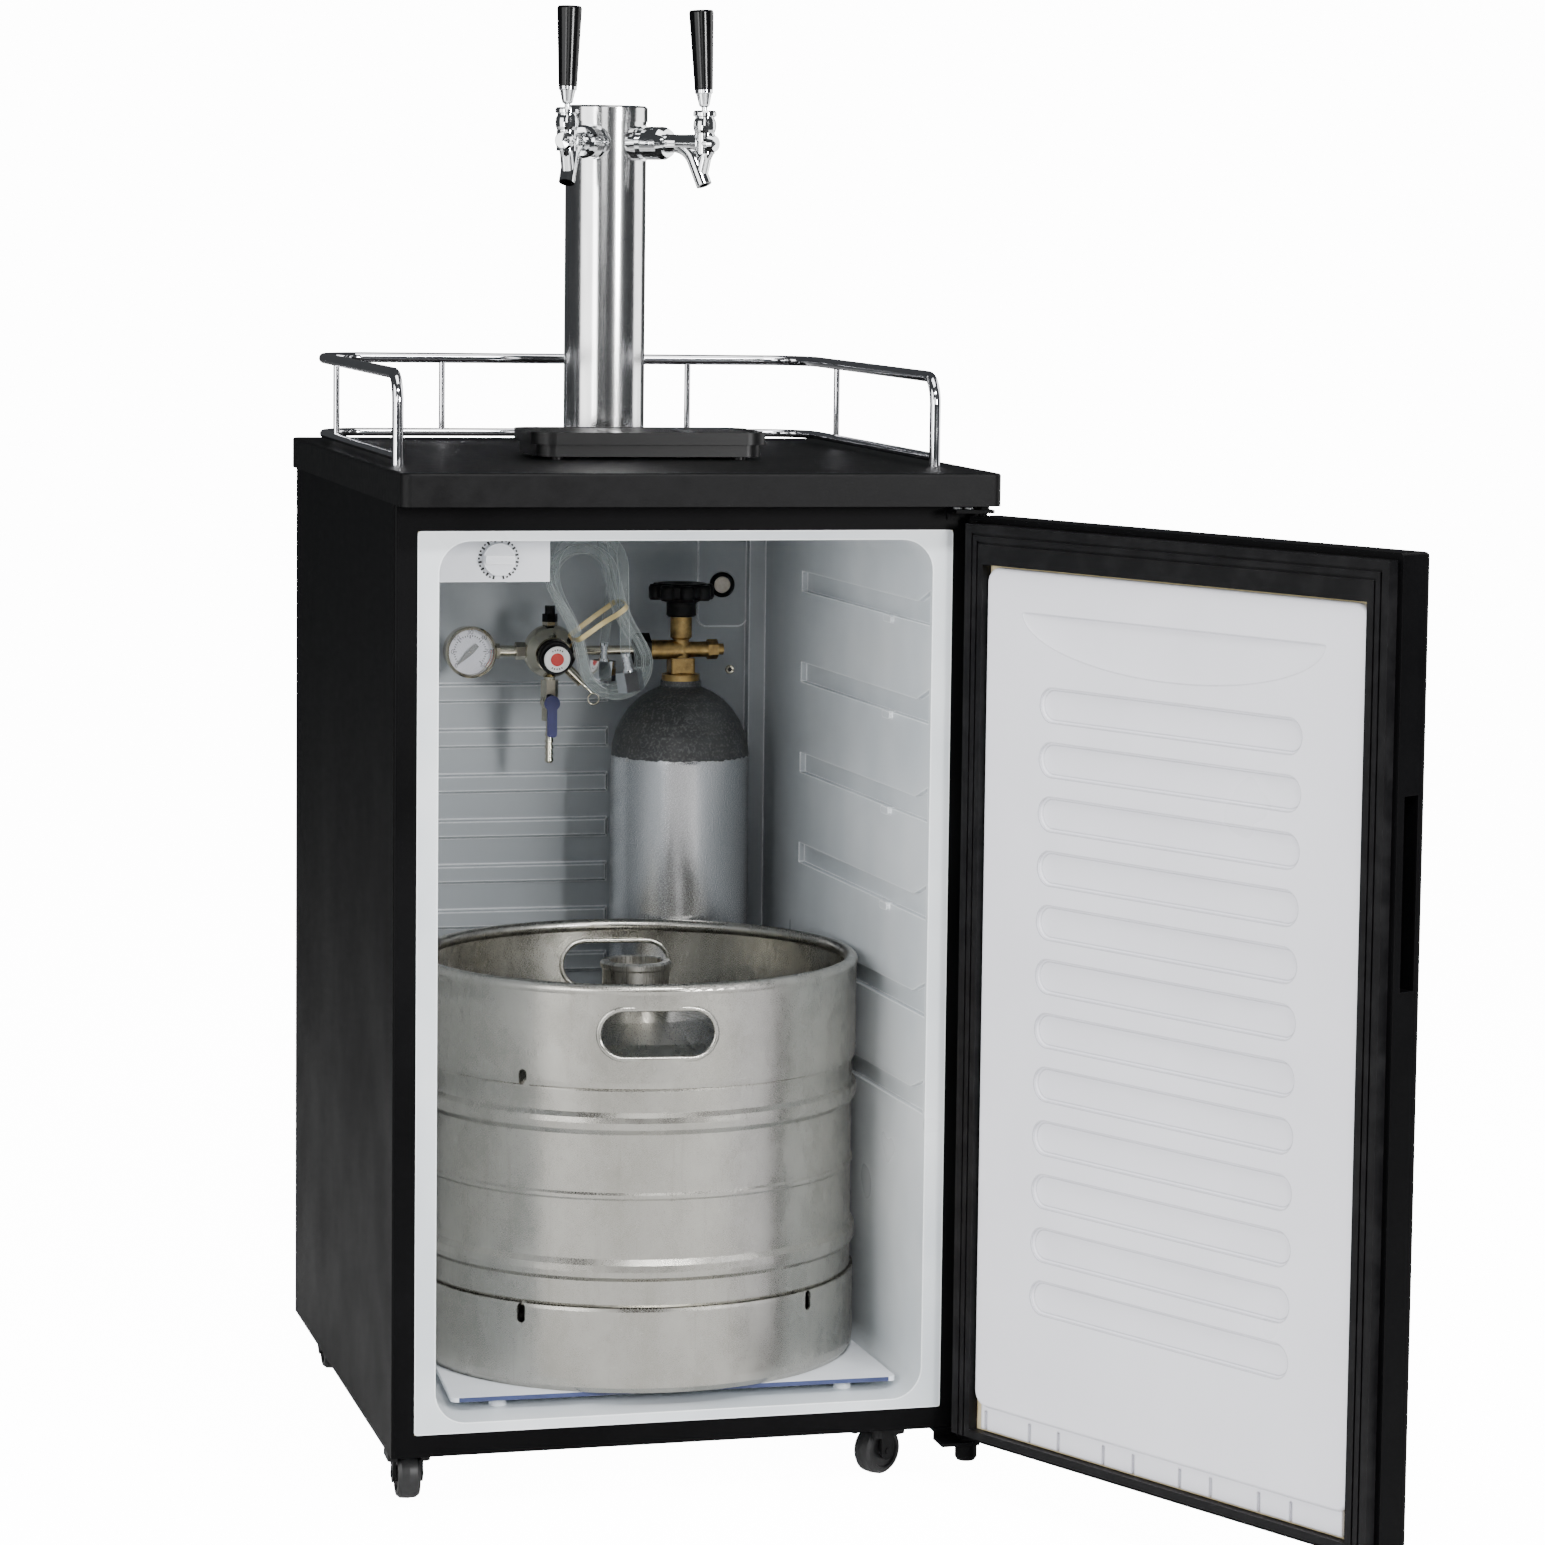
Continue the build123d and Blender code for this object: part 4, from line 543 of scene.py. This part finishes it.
HOSE_RADIUS = 0.0045
HANK_CENTRE = Vector((-0.005, 0.09775, 0.752))
HANK_TILT = math.radians(22)
HANK_LONG = Vector((-math.sin(HANK_TILT), 0, math.cos(HANK_TILT)))
HANK_WIDE = Vector((math.cos(HANK_TILT), 0, math.sin(HANK_TILT)))
HALF_STRAIGHT = 0.0425
WAIST_PULL = 0.0075
HALF_TURNS = 3
STEPS_PER_END = 7
SWAY_HALF_WAVES = 2.6


def metres(points):
    """Points given in millimetres, as vectors in metres."""
    return [Vector(point) / 1000 for point in points]


LEFT_DROP = metres([(-7.5, 87.51, 855), (-4, 92, 830)])
RIGHT_DROP = metres([(9.841, 89.179, 855), (8.5, 90.5, 830)])
FRONT_TAIL = metres([
    (-51, 78.5, 785), (-51, 76.5, 822), (-18, 75, 842), (15, 73.5, 822), (15, 71, 784), (14.5, 65.5, 750),
    (14.4, 60, 723.4),
])
REAR_TAIL = metres([
    (-49, 117.5, 785), (-49, 119.5, 822), (-17, 121, 842), (15, 122.5, 822), (14, 125, 785), (11.5, 130, 755),
    (9.9, 135, 727),
])


def loop_points(width, depths, sway):
    """One and a half clockwise turns of a flat loop, from right side to left, drawn in at the waist."""
    step = 180 / STEPS_PER_END
    spots = []
    for half_turn in range(HALF_TURNS):
        for index in range(STEPS_PER_END + 1):
            spots.append((-180 * half_turn - step * index, False))
        spots.append((-180 * (half_turn + 1), True))
    points = []
    for number, (angle, waist) in enumerate(spots):
        turn = math.radians(angle)
        done = number / (len(spots) - 1)
        half_turn = number // (STEPS_PER_END + 2)
        reach = width + sway * math.sin(SWAY_HALF_WAVES * math.pi * done)
        if waist:
            along, reach = 0, reach - WAIST_PULL
        else:
            along = HALF_STRAIGHT * (-1 if half_turn % 2 == 0 else 1) + reach * math.sin(turn)
        point = HANK_CENTRE + HANK_LONG * along + HANK_WIDE * reach * math.cos(turn)
        point.y = depths[0] + (depths[1] - depths[0]) * done
        points.append(point)
    return points


def waist_point(width, depth):
    """Point at the waist on the right, where a hose enters the hank."""
    point = HANK_CENTRE + HANK_WIDE * (width - WAIST_PULL)
    point.y = depth
    return point


def make_beer_lines():
    """Two clear hoses: down from the ceiling, round the hank, over its top and down to a nut."""
    routes = (
        ("beer_line_front", RIGHT_DROP, 0.0312, (0.0925, 0.0779), 0.0006, FRONT_TAIL),
        ("beer_line_rear", LEFT_DROP, 0.0290, (0.1018, 0.1164), -0.0006, REAR_TAIL),
    )
    for name, drop, width, depths, sway, tail in routes:
        shoulder = HANK_CENTRE + HANK_LONG * HALF_STRAIGHT + HANK_WIDE * width
        shoulder.y = depths[0]
        loops = [shoulder, waist_point(width, depths[0])] + loop_points(width, depths, sway)
        hose = hose_curve(name, drop + loops + tail, HOSE_RADIUS)
        hose.data.materials.append(VINYL)
        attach(hose, "cabinet")
        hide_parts("beer_line_runs", "beer_line_hank")


make_beer_lines()

# ---------------------------------------------------------------- small pieces

RIGHT = Vector((1, 0, 0))
BACK = Vector((0, 1, 0))
UP = Vector((0, 0, 1))
FRONT = Vector((0, -1, 0))
MARK_THICKNESS = 0.0001


def turned_mesh(name, profile, centre, direction, steps=64):
    """Closed surface of revolution from (radius, height) points, set on a point along a direction."""
    turn = Vector(direction).to_track_quat("Z", "Y").to_matrix()
    build = bmesh.new()
    rings = []
    for step in range(steps):
        angle = 2 * math.pi * step / steps
        ring = []
        for radius, height in profile:
            spot = Vector((radius * math.cos(angle), radius * math.sin(angle), height))
            ring.append(build.verts.new(Vector(centre) + turn @ spot))
        rings.append(ring)
    for step in range(steps):
        here, there = rings[step], rings[(step + 1) % steps]
        for index in range(len(profile) - 1):
            build.faces.new((here[index], there[index], there[index + 1], here[index + 1]))
    bmesh.ops.remove_doubles(build, verts=build.verts, dist=1e-6)
    return closed_mesh(name, build)


def closed_mesh(name, build):
    """Turn a mesh that was being built into a finished one whose faces look outwards."""
    bmesh.ops.recalc_face_normals(build, faces=build.faces)
    mesh = bpy.data.meshes.new(name)
    build.to_mesh(mesh)
    build.free()
    return mesh


def add_bar(build, centre, along, across, out, sizes):
    """Add one thin bar to a mesh that is being built."""
    corners = []
    for a in (-0.5, 0.5):
        for b in (-0.5, 0.5):
            for c in (-0.5, 0.5):
                spot = centre + along * sizes[0] * a + across * sizes[1] * b + out * sizes[2] * c
                corners.append(build.verts.new(spot))
    for face in ((0, 1, 3, 2), (4, 6, 7, 5), (0, 4, 5, 1), (2, 3, 7, 6), (0, 2, 6, 4), (1, 5, 7, 3)):
        build.faces.new([corners[index] for index in face])


def spoke(angle, right, up):
    """Directions away from a dial's centre and sideways, at an angle clockwise from its top."""
    away = right * math.sin(angle) + up * math.cos(angle)
    side = right * math.cos(angle) - up * math.sin(angle)
    return away, side


def add_figure(build, text, centre, height):
    """Add a printed number that is read from the front."""
    curve = bpy.data.curves.new("figure", "FONT")
    curve.body = text
    curve.size = height * 1.4
    curve.align_x = "CENTER"
    curve.align_y = "CENTER"
    curve.extrude = 0.00005
    writer = bpy.data.objects.new("figure", curve)
    bpy.context.scene.collection.objects.link(writer)
    solved = writer.evaluated_get(bpy.context.evaluated_depsgraph_get())
    letters = bpy.data.meshes.new_from_object(solved)
    place = Matrix((RIGHT, UP, FRONT)).transposed().to_4x4()
    place.translation = centre
    letters.transform(place)
    build.from_mesh(letters)
    bpy.data.objects.remove(writer)
    bpy.data.curves.remove(curve)
    bpy.data.meshes.remove(letters)


def dial_marks(name, centre, sweep, count, long_every, radii, width, figures=(), figure_radius=0,
               figure_height=0):
    """Ring of ticks, every few of them long, and of numbers on a face that looks to the front."""
    build = bmesh.new()
    short_start = (radii[0] + radii[1]) / 2
    for index in range(count):
        away, side = spoke(math.radians(-sweep / 2 + sweep * index / (count - 1)), RIGHT, UP)
        inner = radii[0] if index % long_every == 0 else short_start
        middle = centre + away * (inner + radii[1]) / 2
        add_bar(build, middle, away, side, FRONT, (radii[1] - inner, width, MARK_THICKNESS))
    for index, text in enumerate(figures):
        away, side = spoke(math.radians(-sweep / 2 + sweep * index / (len(figures) - 1)), RIGHT, UP)
        add_figure(build, text, centre + away * figure_radius, figure_height)
    return closed_mesh(name, build)


GAUGE_CENTRE = Vector((-0.1135, 0.1785, 0.716))
GAUGE_FACE = GAUGE_CENTRE + FRONT * 0.00335
GAUGE_SWEEP = 270
GAUGE_FIGURES = ("0", "10", "20", "30", "40", "50", "60")
RED_START = 88
RED_STEP = 4
RED_BARS = 12
POINTER_HEIGHTS = (0.0020, 0.0026)
POINTER_HALF = ((-0.0095, 0.0022), (-0.0020, 0.0030), (0.0030, 0.0026), (0.0170, 0.0005))


def make_gauge_dial():
    dial = [(0, 0), (0.0217, 0), (0.0217, 0.0003), (0, 0.0003)]
    seat = GAUGE_CENTRE + FRONT * 0.003
    add_piece("gauge_dial", turned_mesh("gauge_dial", dial, seat, FRONT), GAUGE_PAPER, "cabinet")
    marks = dial_marks("gauge_marks", GAUGE_FACE, GAUGE_SWEEP, 31, 5, (0.0128, 0.0162), 0.0010,
                       GAUGE_FIGURES, 0.0188, 0.0046)
    add_piece("gauge_marks", marks, DIAL_BLACK, "cabinet")


def make_gauge_pointer():
    """Flat tapered pointer at the dial's zero, which turns with the CAD needle that it replaces."""
    build = bmesh.new()
    away, side = spoke(math.radians(-GAUGE_SWEEP / 2), RIGHT, UP)
    outline = [(POINTER_HALF[0][0], -POINTER_HALF[0][1])] + list(POINTER_HALF)
    outline += [(along, -across) for along, across in reversed(POINTER_HALF[1:])]
    layers = []
    for height in POINTER_HEIGHTS:
        start = GAUGE_FACE + FRONT * height
        layers.append([build.verts.new(start + away * along + side * across) for along, across in outline])
    bottom, top = layers
    build.faces.new(bottom)
    build.faces.new(top)
    for index in range(len(outline)):
        after = (index + 1) % len(outline)
        build.faces.new((bottom[index], bottom[after], top[after], top[index]))
    pointer = add_piece("gauge_pointer", closed_mesh("gauge_pointer", build), DIAL_BLACK, "needle")
    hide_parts("gauge_needle")


def make_gauge_red_band():
    build = bmesh.new()
    for index in range(RED_BARS):
        away, side = spoke(math.radians(RED_START + RED_STEP * index), RIGHT, UP)
        add_bar(build, GAUGE_FACE + away * 0.0207, away, side, FRONT, (0.0009, 0.0013, MARK_THICKNESS))
    add_piece("gauge_red_band", closed_mesh("gauge_red_band", build), RED_PAINT, "cabinet")


def make_gauge_lens():
    lens = [(0, 0), (0.0219, 0), (0.0219, 0.0007), (0.012, 0.0011), (0, 0.0013)]
    seat = GAUGE_CENTRE + FRONT * 0.0092
    add_piece("gauge_lens", turned_mesh("gauge_lens", lens, seat, FRONT), LENS, "cabinet")


REGULATOR_TILT = math.radians(8)
REGULATOR_FACE = Vector((0, -math.cos(REGULATOR_TILT), -math.sin(REGULATOR_TILT)))
REGULATOR_CENTRE = Vector((-0.035, 0.1785, 0.716))
CAP_HEIGHT = 0.0015


def make_knob_cap():
    """White cap with a red centre and short black dashes on the pressure knob."""
    cap = [(0, 0), (0.0127, 0), (0.0127, 0.0009), (0.0119, CAP_HEIGHT), (0, CAP_HEIGHT)]
    seat = REGULATOR_CENTRE + REGULATOR_FACE * 0.037
    add_piece("knob_cap", turned_mesh("knob_cap", cap, seat, REGULATOR_FACE), DIAL_WHITE, "pressure_knob")
    button = [(0, 0), (0.0064, 0), (0.0064, 0.0003), (0.0060, 0.0006), (0, 0.0006)]
    seat = seat + REGULATOR_FACE * CAP_HEIGHT
    disc = turned_mesh("knob_button", button, seat, REGULATOR_FACE)
    add_piece("knob_button", disc, RED_PAINT, "pressure_knob")
    up = RIGHT.cross(-REGULATOR_FACE)
    build = bmesh.new()
    for degrees in (-30, -15, 0, 15, 30, 150, 165, 180, 195, 210):
        away, side = spoke(math.radians(degrees), RIGHT, up)
        add_bar(build, seat + away * 0.0094, away, side, REGULATOR_FACE, (0.0016, 0.0011, 0.0002))
    add_piece("knob_dashes", closed_mesh("knob_dashes", build), DIAL_BLACK, "pressure_knob")


def make_thermostat_marks():
    """Ring of ticks round the thermostat's knob, with no numbers."""
    housing_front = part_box("thermostat_housing")[0][1]
    centre = Vector((-0.1626, housing_front - MARK_THICKNESS, 0.835))
    marks = dial_marks("thermostat_marks", centre, 330, 31, 2, (0.0150, 0.0182), 0.0019)
    add_piece("thermostat_marks", marks, DIAL_BLACK, "cabinet")


BAND_ANGLE = math.radians(36)
BAND_PATH = [
    # distance along the band's slant and depth from the front, in millimetres
    (-30, 97), (-29.5, 84), (-27, 75), (-20, 72), (0, 70), (13, 62.5), (21, 61.5), (26, 66), (29, 78),
    (30, 97), (29.5, 112), (26, 120.5), (10, 122.6), (-10, 122.6), (-25, 120.5), (-29.5, 112),
]
# across the band and out of it, in millimetres
BAND_SECTION = ((-2.3, -0.6), (2.3, -0.6), (2.5, 0), (2.3, 0.6), (-2.3, 0.6), (-2.5, 0))
BAND_STEPS = 6


def make_rubber_band():
    """Tan rubber band round the waist of the hank."""
    slant = Vector((math.cos(BAND_ANGLE), 0, math.sin(BAND_ANGLE)))
    wide = Vector((-math.sin(BAND_ANGLE), 0, math.cos(BAND_ANGLE)))
    centre = Vector((HANK_CENTRE.x, 0, HANK_CENTRE.z))
    spots = [centre + slant * along / 1000 + Vector((0, depth / 1000, 0)) for along, depth in BAND_PATH]
    path = smooth_loop(spots, BAND_STEPS)
    build = bmesh.new()
    rings = []
    for index, spot in enumerate(path):
        tangent = (path[(index + 1) % len(path)] - path[index - 1]).normalized()
        outward = tangent.cross(wide).normalized()
        ring = []
        for across, out in BAND_SECTION:
            ring.append(build.verts.new(spot + wide * across / 1000 + outward * out / 1000))
        rings.append(ring)
    join_rings(build, rings)
    add_piece("hose_band", closed_mesh("hose_band", build), BAND_RUBBER, "cabinet")


def smooth_loop(spots, steps):
    """Closed Catmull-Rom curve through the given points."""
    path = []
    count = len(spots)
    for index in range(count):
        a, b, c, d = (spots[(index + shift) % count] for shift in (-1, 0, 1, 2))
        for step in range(steps):
            t = step / steps
            squared = (2 * a - 5 * b + 4 * c - d) * t ** 2
            cubed = (3 * b - a - 3 * c + d) * t ** 3
            path.append(0.5 * (2 * b + (c - a) * t + squared + cubed))
    return path


BOARD_TURN = math.radians(-1)
BOARD_CENTRE = Vector((0.0015, -0.071, 0.091))
BOARD_HALF_DEPTH = 0.18815
BOARD_EDGE_SIZE = (0.392, 0.0003, 0.0038)


def make_board_edge():
    """Dark blue strip along the front edge of the floor board."""
    turn = Matrix.Rotation(BOARD_TURN, 3, "Z")
    middle = BOARD_CENTRE + turn @ Vector((0, -BOARD_HALF_DEPTH, 0))
    build = bmesh.new()
    add_bar(build, middle, turn @ RIGHT, turn @ BACK, UP, BOARD_EDGE_SIZE)
    add_piece("board_edge", closed_mesh("board_edge", build), BOARD_BLUE, "cabinet")


PLUG_PLACE = (0.152, 0.2485, 0.7735)
EYELET_PLACE = (0.1615, 0.252, 0.6887)
EYELET_BORE = 0.0022


def make_wall_fittings():
    """Pale plug in the grommet, the eyelet in the rear wall below it, and a black disc of painted shade in
    the eyelet's bore.
    """
    plug = [(0, 0), (0.0082, 0), (0.0082, 0.0008), (0.0070, 0.0018), (0, 0.0022)]
    eyelet = [(EYELET_BORE, 0), (0.0045, 0), (0.0045, 0.0008), (0.0038, 0.0014), (EYELET_BORE, 0.0010),
              (EYELET_BORE, 0)]
    # Black disc across the eyelet's bore: painted shade for the dark hole.
    hole = [(0, 0), (EYELET_BORE, 0), (EYELET_BORE, 0.0003), (0, 0.0003)]
    fittings = (
        ("grommet_plug", plug, PLUG_PLACE, PLUG_TAN),
        ("wall_eyelet", eyelet, EYELET_PLACE, NICKEL),
        ("eyelet_bore_painted_shade", hole, EYELET_PLACE, DIAL_BLACK),
    )
    for name, profile, place, material in fittings:
        add_piece(name, turned_mesh(name, profile, place, FRONT), material, "cabinet")


WIRE_COUNT = 50
WIRE_WIDTH = 0.0013
WIRE_INSET = 0.024
WIRE_TRIM = 0.01
WIRE_OFFSET = 0.0033


def make_condenser_wires():
    """Upright wires spot-welded to both sides of the condenser tube."""
    build = bmesh.new()
    low, high = (Vector(corner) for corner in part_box("condenser_coil"))
    middle = (low + high) / 2
    run = high.x - low.x - 2 * WIRE_INSET
    size = (WIRE_WIDTH, WIRE_WIDTH, high.z - low.z - WIRE_TRIM)
    for side in (-WIRE_OFFSET, WIRE_OFFSET):
        for index in range(WIRE_COUNT):
            x = low.x + WIRE_INSET + run * index / (WIRE_COUNT - 1)
            add_bar(build, Vector((x, middle.y + side, middle.z)), RIGHT, BACK, UP, size)
    add_piece("condenser_wires", closed_mesh("condenser_wires", build), SATIN_BLACK, "cabinet")


SCREW_HEAD = [(0, 0), (0.0042, 0), (0.0040, 0.0012), (0.0024, 0.0022), (0.0009, 0.0023), (0.0009, 0.0014),
              (0, 0.0014)]
SCREW_STEPS = 20


def add_screws(name, places, direction):
    """Numbered row of equal screw heads."""
    for number, place in enumerate(places):
        head = turned_mesh(name, SCREW_HEAD, place, direction, SCREW_STEPS)
        add_piece("%s_%d" % (name, number), head, ZINC, "cabinet")


def make_screws():
    """Screw heads on the back panel and on the upper hinge."""
    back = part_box("cabinet_back_panel")[1][1]
    places = [(x, back, z) for x in (-0.25, 0.25) for z in (0.32, 0.50, 0.68, 0.86)]
    places += [(x, back, 0.873) for x in (-0.12, 0.0, 0.12)]
    add_screws("back_screw", places, BACK)
    add_screws("hinge_screw", [(x, -0.305, 0.883) for x in (0.234, 0.244)], UP)


HOLE_AIMS = (-6.5, 173.5)
HOLE_HALF_LENGTH = 0.0525
HOLE_HALF_HEIGHT = 0.0225
HOLE_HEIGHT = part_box("keg_chimes")[0][2] + 0.324
COLLAR_RADIUS = 0.2029
RIM_ROUND = 0.0027
RIM_SIDES = 8
END_STEPS = 14


def make_hand_hole_rims():
    """Rolled steel edges round the two hand holes in the keg's top collar."""
    axis = Vector((KEG_AXIS[0], KEG_AXIS[1], 0))
    outline = []
    for side in (1, -1):
        for step in range(END_STEPS + 1):
            angle = math.radians(-90 + 180 * step / END_STEPS)
            across = side * (HOLE_HALF_LENGTH - HOLE_HALF_HEIGHT + HOLE_HALF_HEIGHT * math.cos(angle))
            outline.append((across, HOLE_HEIGHT + side * HOLE_HALF_HEIGHT * math.sin(angle)))
    for number, aim in enumerate(HOLE_AIMS):
        build = bmesh.new()
        rings = []
        for index, (across, height) in enumerate(outline):
            before, after = outline[index - 1], outline[(index + 1) % len(outline)]
            run = Vector((after[0] - before[0], after[1] - before[1])).normalized()
            turn = math.radians(aim) + math.asin(across / COLLAR_RADIUS)
            outward = Vector((math.sin(turn), -math.cos(turn), 0))
            sideways = Vector((math.cos(turn), math.sin(turn), 0))
            away = sideways * run.y - UP * run.x
            middle = axis + outward * COLLAR_RADIUS + Vector((0, 0, height))
            ring = []
            for step in range(RIM_SIDES):
                bend = 2 * math.pi * step / RIM_SIDES
                offset = away * math.cos(bend) + outward * math.sin(bend)
                ring.append(build.verts.new(middle + offset * RIM_ROUND))
            rings.append(ring)
        join_rings(build, rings)
        rim = add_piece("hand_hole_rim_%d" % number, closed_mesh("hand_hole_rim", build), KEG, "cabinet")
        for face in rim.data.polygons:
            face.use_smooth = True


def join_rings(build, rings):
    """Skin a closed chain of equal rings of points."""
    for index, ring in enumerate(rings):
        following = rings[(index + 1) % len(rings)]
        for side in range(len(ring)):
            after = (side + 1) % len(ring)
            build.faces.new((ring[side], ring[after], following[after], following[side]))


make_hand_hole_rims()
make_gauge_dial()
make_gauge_pointer()
make_gauge_red_band()
make_gauge_lens()
make_knob_cap()
make_thermostat_marks()
make_rubber_band()
make_board_edge()
make_wall_fittings()
make_condenser_wires()
make_screws()
